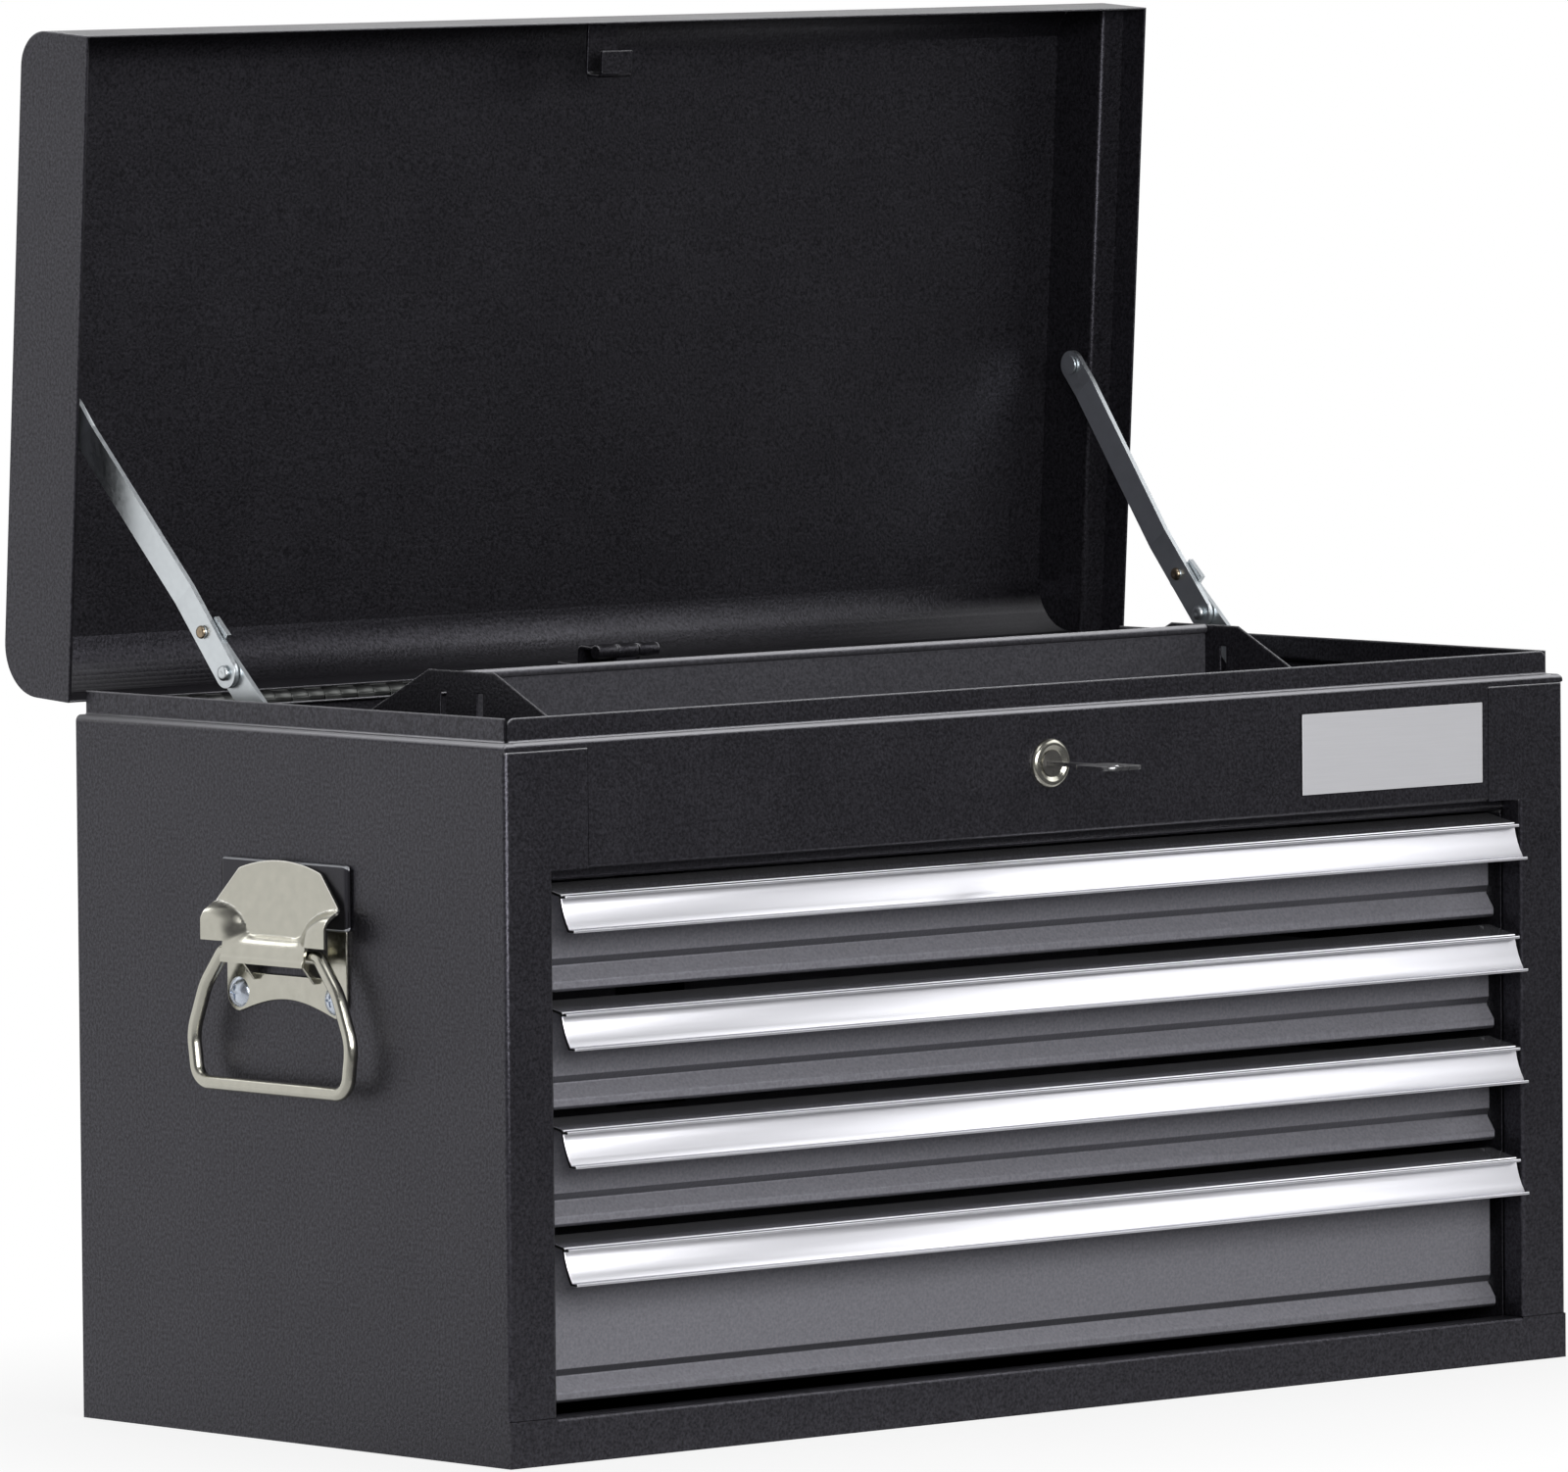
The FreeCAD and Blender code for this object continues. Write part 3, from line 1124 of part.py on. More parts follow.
def make_tray_divider():
    """Upright plate along the middle of the tray, rolled at its top to carry it by."""
    inner = TRAY_HALF - TRAY_STEEL
    y0 = TRAY_MIDDLE - TRAY_STEEL / 2
    y1 = TRAY_MIDDLE + TRAY_STEEL / 2
    top = TRAY_BOTTOM + TRAY_RISE - TRAY_ROLL_RADIUS
    plate = box(-inner, inner, y0, y1, TRAY_BOTTOM + TRAY_STEEL, top)
    roll = rod(TRAY_ROLL_RADIUS, Vector(-inner, TRAY_MIDDLE, top), Vector(inner, TRAY_MIDDLE, top))
    return fused([plate, roll])


def save_cabinet():
    side = make_side_panel()
    save("right_side_panel", side)
    save("left_side_panel", mirrored(side))
    save("front_apron", make_apron())
    save("back_panel", make_back_panel())
    save("bottom_panel", box(-HALF + SHEET, HALF - SHEET, FRONT + SHEET, BACK, 0, SHEET))
    save("bottom_rail", make_bottom_rail())
    save("compartment_floor", make_floor())
    bay = make_bay_wall()
    save("bay_walls", Part.makeCompound([bay, mirrored(bay)]))
    save("label_plate", make_label_plate())
    save("stay_brackets", make_stay_brackets())


def save_lid():
    save("lid_shell", swung_open(make_lid_shell()))
    end = make_lid_end()
    save("lid_right_end", swung_open(end))
    save("lid_left_end", swung_open(mirrored(end)))
    channel = make_lid_channel()
    save("lid_channels", Part.makeCompound([swung_open(channel), swung_open(mirrored(channel))]))
    save("lid_catch", swung_open(make_lid_catch()))
    save("lid_lug", swung_open(make_lid_lug()))
    save("lid_stay_studs", make_lid_stay_studs())
    save("hinge_lid_leaf", swung_open(make_hinge_leaf(1, 1)))
    save("hinge_body_leaf", make_hinge_leaf(0, -1))
    save("hinge_pin", make_hinge_pin())


def save_stays():
    for name, side in (("left", -1), ("right", 1)):
        upper, lower = make_stay(side)
        save("stay_" + name + "_upper_bar", upper)
        save("stay_" + name + "_lower_bar", lower)
    save("lock_bar", make_lock_bar())


def save_lock():
    save("lock_housing", make_lock_housing())
    save("lock_nut", make_lock_nut())
    save("lock_plug", make_lock_plug())
    save("lock_key", make_key())
    save("lock_cam", make_cam())


def save_grips():
    backing = make_grip_backing()
    plate = make_grip_plate()
    bail = make_bail()
    screws = make_grip_screws()
    for name, turn in (("right", lambda shape: shape), ("left", mirrored)):
        save("grip_" + name + "_plate", turn(plate))
        save("grip_" + name + "_bail", turn(bail))
    save("grip_backings", Part.makeCompound([backing, mirrored(backing)]))
    save("grip_screws", Part.makeCompound(screws + [mirrored(screw) for screw in screws]))


def save_tray():
    save("tray_pan", make_tray_pan())
    end = make_tray_end()
    save("tray_ends", Part.makeCompound([end, mirrored(end)]))
    save("tray_divider", make_tray_divider())


save_cabinet()
save_drawers()
save_lid()
save_stays()
save_lock()
save_grips()
save_tray()
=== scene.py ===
import math

import bmesh
import bpy
from mathutils import Matrix, Vector


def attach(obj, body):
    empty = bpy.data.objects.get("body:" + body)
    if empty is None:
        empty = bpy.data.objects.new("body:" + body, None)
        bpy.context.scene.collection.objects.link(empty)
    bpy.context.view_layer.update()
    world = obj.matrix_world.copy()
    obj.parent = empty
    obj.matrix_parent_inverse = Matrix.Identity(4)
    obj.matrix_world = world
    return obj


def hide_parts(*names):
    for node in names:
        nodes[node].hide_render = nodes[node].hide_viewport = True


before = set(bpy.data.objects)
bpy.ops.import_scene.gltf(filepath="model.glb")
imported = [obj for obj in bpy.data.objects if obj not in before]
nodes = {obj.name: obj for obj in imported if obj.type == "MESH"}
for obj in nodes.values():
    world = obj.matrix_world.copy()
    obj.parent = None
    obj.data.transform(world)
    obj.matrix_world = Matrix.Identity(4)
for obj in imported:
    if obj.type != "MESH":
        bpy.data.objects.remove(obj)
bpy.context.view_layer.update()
scene = bpy.context.scene

# Camera of the photograph, in metres, for a picture of 1600 by 1502 pixels.
CAMERA_PLACE = Vector((-4.82866, -5.44155, 0.79488))
CAMERA_RIGHT = Vector((0.74953677, -0.66190948, -0.00839409))
CAMERA_UP = Vector((0.05062702, 0.04467662, 0.99771785))
CAMERA_LENS = 357.436

# Colours of the paint, the violet tint in its gloss, and the colour of the nickel.
BODY_PAINT = (0.0048, 0.0045, 0.0055)
INNER_PAINT = (0.0050, 0.0047, 0.0057)
TRAY_PAINT = (0.036, 0.0355, 0.040)
DRAWER_PAINT = (0.134, 0.133, 0.147)
PAINT_SHEEN = (0.87, 0.85, 1.0)
NICKEL = (0.47, 0.46, 0.40)

# Painted highlight along the upper edges of painted sheet and of the nickel plates, where light from above
# would catch them, and its width in metres.
PAINTED_EDGE_HIGHLIGHT = (0.32, 0.32, 0.335)
PAINTED_NICKEL_HIGHLIGHT = (0.90, 0.89, 0.84)
HIGHLIGHT_WIDTH = 0.0016

# Painted shade in the groove of the drawer fronts, roughness on top of the pulls, and the dark colour of
# their ends that face along X.
PAINTED_GROOVE_SHADE = (0.026, 0.026, 0.029)
POLISHED_TOP = 0.12
DARK_END = (0.05, 0.05, 0.05)

# Width of the rounded edges, in metres: of the solids, the grip backings, the handle hoods and their flanges.
EDGE_ROUND = 0.0004
BACKING_ROUND = 0.0020
HOOD_ROUND = 0.00065
FLANGE_ROUND = 0.0005

# Half the width and depth of the cabinet, in millimetres, then the pressed plate of the carrying handles:
# half is along the side panel, depth is below the plate's crown, proud is off the panel.
SIDE = 330.0
FRONT = 152.5
PLATE_CROWN = 266.5
PLATE_STEEL = 1.5
PLATE_TOP_HALF = 29.0
PLATE_TOP_SAG = 4.5
SHOULDER_HALF = 44.0
SHOULDER_DEPTH = 20.4
VALLEY_HALF = 20.0
VALLEY_DEPTH = 34.2
EAR_DEPTH = 37.6
EAR_REACH = 15.0
CREASE = 1.2
HOOD_HALF = 29.3
HOOD_DEPTH = 47.0
TOP_PROUD = 4.5
VALLEY_PROUD = 8.4
HOOD_PROUD = 16.0
BULGE_LENGTH = 9.0
LIP_DEPTH = 43.4
LIP_LENGTH = 1.6
LIP_PROUD = 0.8
SCREW_HALF = 34.0
SCREW_Z = 204.5
FLANGE_RADIUS = 8.7
FLANGE_ARCH = 7.0
FLANGE_TOP = 236.0
STRIP_TOP = 214.0
WINDOW_HALF = 29.0
EYE_HALF = 22.0
EYE_RADIUS = 4.7
EYE_BACK = 0.2
EYE_BACK_RISE = 3.2
EYE_OVERLAP = 3.0
EYE_FOOT = 3.5
PIVOT_PROUD = 10.4
PIVOT_Z = 224.2
ARC_STEPS = 12

# Elbow of the lid stays and slope of their upper bars in degrees, then the rivet heads: the distance from
# the elbow to the second one, the height of both, and the -X face of each upper bar, in millimetres.
STAY_ELBOW = Vector((0.0, 70.49, 347.55))
STAY_SLOPE = 49.5
STOP_DISTANCE = 24.0
RIVET_HEIGHT = 1.5
STAY_FACES = (("left", -309.0), ("right", 301.5))
RIVETS = (("elbow", 0.0, 3.6, "zinc", "zinc"), ("stop", STOP_DISTANCE, 3.1, "bronze", "brass"))

# Floor, in metres: half its width, its front and back edges, and its drop below the object.
FLOOR_HALF = 6.0
FLOOR_FRONT = -0.48
FLOOR_BACK = 9.0
FLOOR_DROP = 0.0005
FLOOR_COLOUR = (0.55, 0.55, 0.55)

# Share of white that the camera sees in the floor, close to the object and at a distance, in metres.
NEAR_WHITE = 0.86
NEAR = 0.02
FAR = 0.31

# Room light, then the softboxes: name, place, size in metres and power in watts. All face LIGHT_TARGET.
ROOM_COLOUR = (0.96, 0.96, 1.0, 1.0)
ROOM_STRENGTH = 0.15
WHITE = (1.0, 1.0, 1.0, 1.0)
LIGHT_TARGET = Vector((0.0, 0.0, 0.25))
SOFTBOXES = (
    ("key_softbox", (3.33, -1.07, 2.94), (2.4, 1.3), 11.0),
    ("low_softbox", (2.95, -2.25, 2.3), (2.8, 2.6), 41.0),
    ("front_softbox", (-1.25, -2.9, 1.2), (2.6, 1.4), 110.0),
    ("top_softbox", (-1.2, -0.9, 2.9), (1.4, 1.4), 12.0),
    ("rear_softbox", (1.45, 2.85, 3.2), (4.8, 1.2), 60.0),
)


def make_camera():
    data = bpy.data.cameras.new("camera")
    data.sensor_fit = "HORIZONTAL"
    data.sensor_width = 36.0
    data.lens = CAMERA_LENS
    data.clip_start = 0.1
    data.clip_end = 200.0
    camera = bpy.data.objects.new("camera", data)
    scene.collection.objects.link(camera)
    back = CAMERA_RIGHT.cross(CAMERA_UP)
    turn = Matrix((CAMERA_RIGHT, CAMERA_UP, back)).transposed().to_4x4()
    camera.matrix_world = Matrix.Translation(CAMERA_PLACE) @ turn
    scene.camera = camera


class Nodes:
    """A node tree with short calls that add nodes and link them."""

    def __init__(self, tree):
        self.tree = tree

    def add(self, kind, **values):
        node = self.tree.nodes.new(kind)
        for key, value in values.items():
            setattr(node, key, value)
        return node

    def link(self, start, end):
        self.tree.links.new(start, end)

    def ranged(self, value, low, high, start=0.3, end=0.7, **values):
        """Value that runs from low to high while the given one runs from start to end."""
        node = self.add("ShaderNodeMapRange", **values)
        node.inputs["From Min"].default_value = start
        node.inputs["From Max"].default_value = end
        node.inputs["To Min"].default_value = low
        node.inputs["To Max"].default_value = high
        self.link(value, node.inputs["Value"])
        return node.outputs["Result"]

    def joined(self, operation, first, second):
        """Sum, product or larger one of two values."""
        node = self.add("ShaderNodeMath", operation=operation)
        self.link(first, node.inputs[0])
        self.link(second, node.inputs[1])
        return node.outputs["Value"]


class Shader(Nodes):
    """A node material with one Principled shader and short calls for the nodes that feed it."""

    def __init__(self, name, colour, roughness, metallic=0.0, specular=0.5, sheen=(1.0, 1.0, 1.0)):
        self.material = bpy.data.materials.new(name)
        self.material.use_nodes = True
        super().__init__(self.material.node_tree)
        self.main = self.tree.nodes["Principled BSDF"]
        self.main.inputs["Base Color"].default_value = (*colour, 1.0)
        self.main.inputs["Roughness"].default_value = roughness
        self.main.inputs["Metallic"].default_value = metallic
        self.main.inputs["Specular IOR Level"].default_value = specular
        self.main.inputs["Specular Tint"].default_value = (*sheen, 1.0)
        self.place = self.add("ShaderNodeTexCoord").outputs["Object"]

    def noise(self, scale, detail=2.0, stretch=(1.0, 1.0, 1.0)):
        """Noise between 0 and 1; scale is in features per metre."""
        mapping = self.add("ShaderNodeMapping")
        mapping.inputs["Scale"].default_value = stretch
        self.link(self.place, mapping.inputs["Vector"])
        noise = self.add("ShaderNodeTexNoise")
        noise.inputs["Scale"].default_value = scale
        noise.inputs["Detail"].default_value = detail
        self.link(mapping.outputs["Vector"], noise.inputs["Vector"])
        return noise.outputs["Fac"]

    def roughness(self, value, low, high):
        self.link(self.ranged(value, low, high), self.main.inputs["Roughness"])

    def ramp(self, value, dark, light):
        """Colour between two colours."""
        ramp = self.add("ShaderNodeValToRGB")
        ramp.color_ramp.elements[0].position = 0.3
        ramp.color_ramp.elements[1].position = 0.7
        ramp.color_ramp.elements[0].color = (*dark, 1.0)
        ramp.color_ramp.elements[1].color = (*light, 1.0)
        self.link(value, ramp.inputs["Fac"])
        return ramp.outputs["Color"]

    def tint(self, value, dark, light):
        """Base colour between two colours."""
        self.link(self.ramp(value, dark, light), self.main.inputs["Base Color"])

    def painted_edge_highlight(self, colour, edge, bends):
        """Painted highlight: colour that turns to the edge colour along sharp upward edges, or along every
        upward bend too.
        """
        rounded = self.add("ShaderNodeBevel", samples=6)
        rounded.inputs["Radius"].default_value = HIGHLIGHT_WIDTH
        parts = self.add("ShaderNodeSeparateXYZ")
        self.link(rounded.outputs["Normal"], parts.inputs["Vector"])
        upward = self.ranged(parts.outputs["Z"], 0.0, 1.0, 0.25, 0.6)
        if bends:
            near = self.ranged(parts.outputs["Z"], 1.0, 0.0, 0.96, 0.995)
        else:
            along = self.add("ShaderNodeVectorMath", operation="DOT_PRODUCT")
            self.link(rounded.outputs["Normal"], along.inputs[0])
            self.link(self.add("ShaderNodeNewGeometry").outputs["True Normal"], along.inputs[1])
            near = self.ranged(along.outputs["Value"], 1.0, 0.0, 0.84, 0.985)
        return self.blended(self.joined("MULTIPLY", near, upward), colour, edge)

    def painted_shade_downward(self, colour, dark):
        """Painted shade: colour that turns dark where the surface leans downward, as the upper wall of a
        groove does where shade falls.
        """
        return self.blended(self.ranged(self.lean("Z"), 1.0, 0.0, -0.35, -0.15), colour, dark)

    def blended(self, share, colour, other):
        """Colour that turns to another one by a share from 0 to 1."""
        mix = self.add("ShaderNodeMix", data_type="RGBA")
        self.link(share, mix.inputs["Factor"])
        self.link(colour, mix.inputs["A"])
        mix.inputs["B"].default_value = (*other, 1.0)
        return mix.outputs["Result"]

    def lean(self, axis):
        """Part of the surface's normal along an axis, from -1 to 1."""
        parts = self.add("ShaderNodeSeparateXYZ")
        self.link(self.add("ShaderNodeNewGeometry").outputs["True Normal"], parts.inputs["Vector"])
        return parts.outputs[axis]

    def facing(self, axis):
        """How squarely the surface faces along an axis, from 0 to 1."""
        size = self.add("ShaderNodeMath", operation="ABSOLUTE")
        self.link(self.lean(axis), size.inputs[0])
        return size.outputs["Value"]

    def bump(self, value, strength, depth):
        node = self.add("ShaderNodeBump")
        node.inputs["Strength"].default_value = strength
        node.inputs["Distance"].default_value = depth
        self.link(value, node.inputs["Height"])
        self.link(node.outputs["Normal"], self.main.inputs["Normal"])


def scaled(colour, factor):
    return tuple(channel * factor for channel in colour)


def powder_coat(name, colour, roughness, specular, grain=0.6, edge=None, bends=False, downward_shade=None):
    """Paint with the fine grain of a powder coat, uneven gloss, a painted highlight along upper edges and
    painted shade where the surface leans downward.
    """
    shader = Shader(name, colour, roughness, specular=specular, sheen=PAINT_SHEEN)
    fine = shader.noise(700.0, 2.0)
    grained = shader.ramp(fine, scaled(colour, 1.0 - grain), scaled(colour, 1.0 + grain))
    if edge:
        grained = shader.painted_edge_highlight(grained, edge, bends)
    if downward_shade:
        grained = shader.painted_shade_downward(grained, downward_shade)
    shader.link(grained, shader.main.inputs["Base Color"])
    gloss = shader.ramp(fine, scaled(PAINT_SHEEN, 1.0 - grain), PAINT_SHEEN)
    shader.link(gloss, shader.main.inputs["Specular Tint"])
    shader.bump(fine, 0.4, 0.0005)
    shader.roughness(shader.noise(22.0, 4.0), roughness - 0.03, roughness + 0.04)
    return shader.material


def moulded(name, colour, edge, roughness):
    """Moulded plastic with a painted highlight: paler on the faces that turn up or down."""
    shader = Shader(name, colour, roughness, specular=0.5, sheen=PAINT_SHEEN)
    shader.tint(shader.ranged(shader.facing("Z"), 0.3, 0.7, 0.12, 0.36), colour, edge)
    shader.bump(shader.noise(900.0, 2.0), 0.2, 0.0004)
    shader.roughness(shader.noise(40.0, 3.0), roughness - 0.04, roughness + 0.05)
    return shader.material


def plated(name, colour, roughness, mottle=0.05, edge=None):
    """Plated metal with faint clouds in its colour and gloss, and a painted highlight along its upper edges.
    """
    shader = Shader(name, colour, roughness, metallic=1.0)
    dark = scaled(colour, 1.0 - mottle)
    light = scaled(colour, 1.0 + mottle / 2)
    clouded = shader.ramp(shader.noise(160.0, 5.0), dark, light)
    if edge:
        clouded = shader.painted_edge_highlight(clouded, edge, False)
    shader.link(clouded, shader.main.inputs["Base Color"])
    shader.roughness(shader.noise(420.0, 3.0), roughness - 0.04, roughness + 0.06)
    return shader.material


def brushed(name, colour, roughness, metallic):
    """Satin metal with fine lines drawn along X."""
    shader = Shader(name, colour, roughness, metallic=metallic)
    lines = shader.noise(2600.0, 2.0, (0.015, 1.0, 1.0))
    shader.tint(lines, scaled(colour, 0.97), scaled(colour, 1.02))
    shader.roughness(lines, roughness - 0.03, roughness + 0.04)
    return shader.material


def extruded(name, colour, roughness):
    """Anodised bar along X with fine drawn lines, a polished top, and a dark colour on the ends that face
    along X.
    """
    shader = Shader(name, colour, roughness, metallic=0.95)
    shader.tint(shader.ranged(shader.facing("X"), 0.3, 0.7, 0.75, 0.95), colour, DARK_END)
    lines = shader.ranged(shader.noise(3000.0, 1.0, (0.004, 1.0, 1.0)), -0.02, 0.02)
    polished = shader.ranged(shader.facing("Z"), roughness, POLISHED_TOP, 0.85, 0.97)
    shader.link(shader.joined("ADD", lines, polished), shader.main.inputs["Roughness"])
    return shader.material


def make_materials():
    # The edge colours given here are painted highlights, and the groove colour of the drawer fronts is
    # painted shade.
    return {
        "body": powder_coat("body_powder_coat", BODY_PAINT, 0.38, 0.85, edge=PAINTED_EDGE_HIGHLIGHT),
        "shell": powder_coat("shell_powder_coat", BODY_PAINT, 0.38, 0.85, edge=PAINTED_EDGE_HIGHLIGHT, bends=True),
        "rail": powder_coat("rail_powder_coat", BODY_PAINT, 0.38, 0.85),
        "inner": powder_coat("inner_powder_coat", INNER_PAINT, 0.40, 0.57, edge=PAINTED_EDGE_HIGHLIGHT),
        "tray": powder_coat("tray_powder_coat", TRAY_PAINT, 0.40, 0.50, 0.3, PAINTED_EDGE_HIGHLIGHT, True),
        "drawer": powder_coat("drawer_powder_coat", DRAWER_PAINT, 0.42, 0.50, 0.16),
        "front": powder_coat("front_powder_coat", DRAWER_PAINT, 0.42, 0.50, 0.16, downward_shade=PAINTED_GROOVE_SHADE),
        "pull": extruded("anodised_aluminium", (0.80, 0.80, 0.84), 0.36),
        "nickel": plated("nickel_plate", NICKEL, 0.20),
        "plate": plated("nickel_plate_painted_highlight", NICKEL, 0.20, edge=PAINTED_NICKEL_HIGHLIGHT),
        # The lock plug is given a darker nickel colour.
        "plug": plated("dark_nickel", (0.27, 0.26, 0.24), 0.30),
        "zinc": plated("zinc_plate", (0.66, 0.70, 0.725), 0.36, 0.04),
        "dark_steel": plated("oiled_steel", (0.095, 0.098, 0.095), 0.36),
        "steel": plated("key_steel", (0.20, 0.20, 0.205), 0.30),
        "slide": plated("galvanised_steel", (0.50, 0.51, 0.52), 0.38, 0.10),
        "screw": plated("blue_zinc_plate", (0.56, 0.61, 0.69), 0.26, 0.06),
        "label": brushed("silver_label", (0.52, 0.52, 0.54), 0.46, 0.25),
        # The backing's paler second colour is a painted highlight on its faces turned up or down.
        "backing": moulded("black_plastic", (0.0060, 0.0058, 0.0066), (0.32, 0.33, 0.35), 0.40),
        "bronze": plated("bronze_rivet", (0.34, 0.27, 0.19), 0.30),
    }


NODE_LOOKS = {
    "shell": ["left_side_panel", "right_side_panel", "front_apron", "back_panel"],
    "rail": ["bottom_rail"],
    "body": ["bottom_panel", "lid_left_end", "lid_right_end"],
    "inner": ["compartment_floor", "bay_walls", "lid_shell", "lid_channels", "lid_catch", "lid_lug",
              "lock_bar", "tray_ends"],
    "backing": ["grip_backings"],
    "tray": ["tray_pan", "tray_divider"],
    "drawer": ["drawer_%d_box" % number for number in range(1, 5)],
    "front": ["drawer_%d_front" % number for number in range(1, 5)],
    "pull": ["drawer_%d_handle" % number for number in range(1, 5)],
    "nickel": ["lock_housing", "lock_nut", "grip_left_bail", "grip_right_bail"],
    "plate": ["grip_left_plate", "grip_right_plate"],
    "plug": ["lock_plug"],
    "zinc": ["stay_left_upper_bar", "stay_left_lower_bar", "stay_right_upper_bar", "stay_right_lower_bar",
             "stay_brackets", "lid_stay_studs", "lock_cam"],
    "dark_steel": ["hinge_lid_leaf", "hinge_body_leaf", "hinge_pin"],
    "steel": ["lock_key"],
    "slide": ["cabinet_slides"] + ["drawer_%d_%s" % (number, part) for number in range(1, 5)
                                   for part in ("rails", "middle_slides")],
    "screw": ["grip_screws"],
    "label": ["label_plate"],
}


def dress_nodes(looks):
    for look, names in NODE_LOOKS.items():
        for name in names:
            node = nodes[name]
            node.data.materials.clear()
            node.data.materials.append(looks[look])


def round_edges(piece, width):
    """Small rounded edges, so that they catch the light as bent sheet does."""
    bevel = piece.modifiers.new("edges", "BEVEL")
    bevel.width = width
    bevel.segments = 2
    bevel.limit_method = "ANGLE"
    bevel.angle_limit = math.radians(40)
    bevel.use_clamp_overlap = True
    bevel.harden_normals = True


def soften_edges():
    for name, node in nodes.items():
        weld = node.modifiers.new("weld", "WELD")
        weld.merge_threshold = 0.00001
        round_edges(node, BACKING_ROUND if name == "grip_backings" else EDGE_ROUND)


def add_piece(name, points, faces, material):
    """Mesh object from points in millimetres."""
    mesh = bpy.data.meshes.new(name)
    mesh.from_pydata([Vector(point) / 1000.0 for point in points], [], faces)
    mesh.polygons.foreach_set("use_smooth", [True] * len(mesh.polygons))
    mesh.materials.append(material)
    piece = bpy.data.objects.new(name, mesh)
    scene.collection.objects.link(piece)
    return piece


def outward(piece):
    """Turn all the faces of a closed mesh outward."""
    work = bmesh.new()
    work.from_mesh(piece.data)
    bmesh.ops.recalc_face_normals(work, faces=work.faces)
    work.to_mesh(piece.data)
    work.free()


def plate_top(y):
    """Depth of the plate's upper edge: a low arch between two straight sloping sides."""
    across = abs(y)
    if across <= PLATE_TOP_HALF:
        return PLATE_TOP_SAG * (across / PLATE_TOP_HALF) ** 2
    share = (across - PLATE_TOP_HALF) / (SHOULDER_HALF - PLATE_TOP_HALF)
    return PLATE_TOP_SAG + (SHOULDER_DEPTH - PLATE_TOP_SAG) * share


def plate_proud(y, depth):
    """How far the plate stands off the panel: a sloping shield, and a hood that rises higher in two ears."""
    shield = TOP_PROUD + (VALLEY_PROUD - TOP_PROUD) * depth / VALLEY_DEPTH
    across = (SHOULDER_HALF - abs(y)) / (SHOULDER_HALF - VALLEY_HALF)
    above = max(VALLEY_DEPTH - depth, 0.0) / (VALLEY_DEPTH - SHOULDER_DEPTH)
    ear = EAR_REACH * (1.0 - math.hypot(across, above))
    roll = depth - VALLEY_DEPTH
    inside = CREASE * math.log(math.exp(ear / CREASE) + math.exp(roll / CREASE))
    rise = min(max(inside / BULGE_LENGTH, 0.0), 1.0)
    lip = min(max((depth - LIP_DEPTH) / LIP_LENGTH, 0.0), 1.0)
    bulge = math.sin(rise * math.pi / 2) ** 0.85
    return shield + (HOOD_PROUD - shield) * bulge + LIP_PROUD * lip * lip * (3 - 2 * lip)


def plate_columns():
    """Places across the plate, the same on both sides, with the sides of the hood among them."""
    inner = [HOOD_HALF * step / 24 for step in range(25)]
    outer = [HOOD_HALF + (SHOULDER_HALF - HOOD_HALF) * step / 14 for step in range(1, 15)]
    half = inner + outer
    return [-y for y in reversed(half[1:])] + half


def make_plate_hood(name, side, material):
    """Pressed shield and hood, a grid that follows the outline, thickened inwards."""
    columns = plate_columns()
    upper_rows = 44
    lower_rows = 12
    points = []
    index = {}
    for column, y in enumerate(columns):
        top = plate_top(y)
        depths = [top + (EAR_DEPTH - top) * row / upper_rows for row in range(upper_rows + 1)]
        if abs(y) <= HOOD_HALF + 0.001:
            depths += [EAR_DEPTH + (HOOD_DEPTH - EAR_DEPTH) * row / lower_rows
                       for row in range(1, lower_rows + 1)]
        for row, depth in enumerate(depths):
            index[column, row] = len(points)
            points.append((side * (SIDE + plate_proud(y, depth)), y, PLATE_CROWN - depth))
    faces = []
    for column in range(len(columns) - 1):
        for row in range(upper_rows + lower_rows):
            corners = [(column, row), (column, row + 1), (column + 1, row + 1), (column + 1, row)]
            if all(corner in index for corner in corners):
                face = [index[corner] for corner in corners]
                faces.append(face if side > 0 else face[::-1])
    hood = add_piece(name, points, faces, material)
    steel = hood.modifiers.new("steel", "SOLIDIFY")
    steel.thickness = PLATE_STEEL / 1000.0
    steel.offset = -1.0
    steel.use_even_offset = True
    round_edges(hood, HOOD_ROUND)
    return hood


def slab(outline, place, far):
    """Points and faces of a flat plate: its outline, and the same outline moved by far."""
    count = len(outline)
    near = [Vector(place(*point)) for point in outline]
    points = near + [point + Vector(far) for point in near]
    faces = [list(range(count)), list(range(2 * count - 1, count - 1, -1))]
    for start in range(count):
        end = (start + 1) % count
        faces.append([start, start + count, end + count, end])
    return points, faces


def arc(across, height, radius, start, turn):
    """Points along an arc, from the angle start through turn, in degrees."""
    angles = [math.radians(start + turn * step / ARC_STEPS) for step in range(ARC_STEPS + 1)]
    return [(across + radius * math.cos(angle), height + radius * math.sin(angle)) for angle in angles]


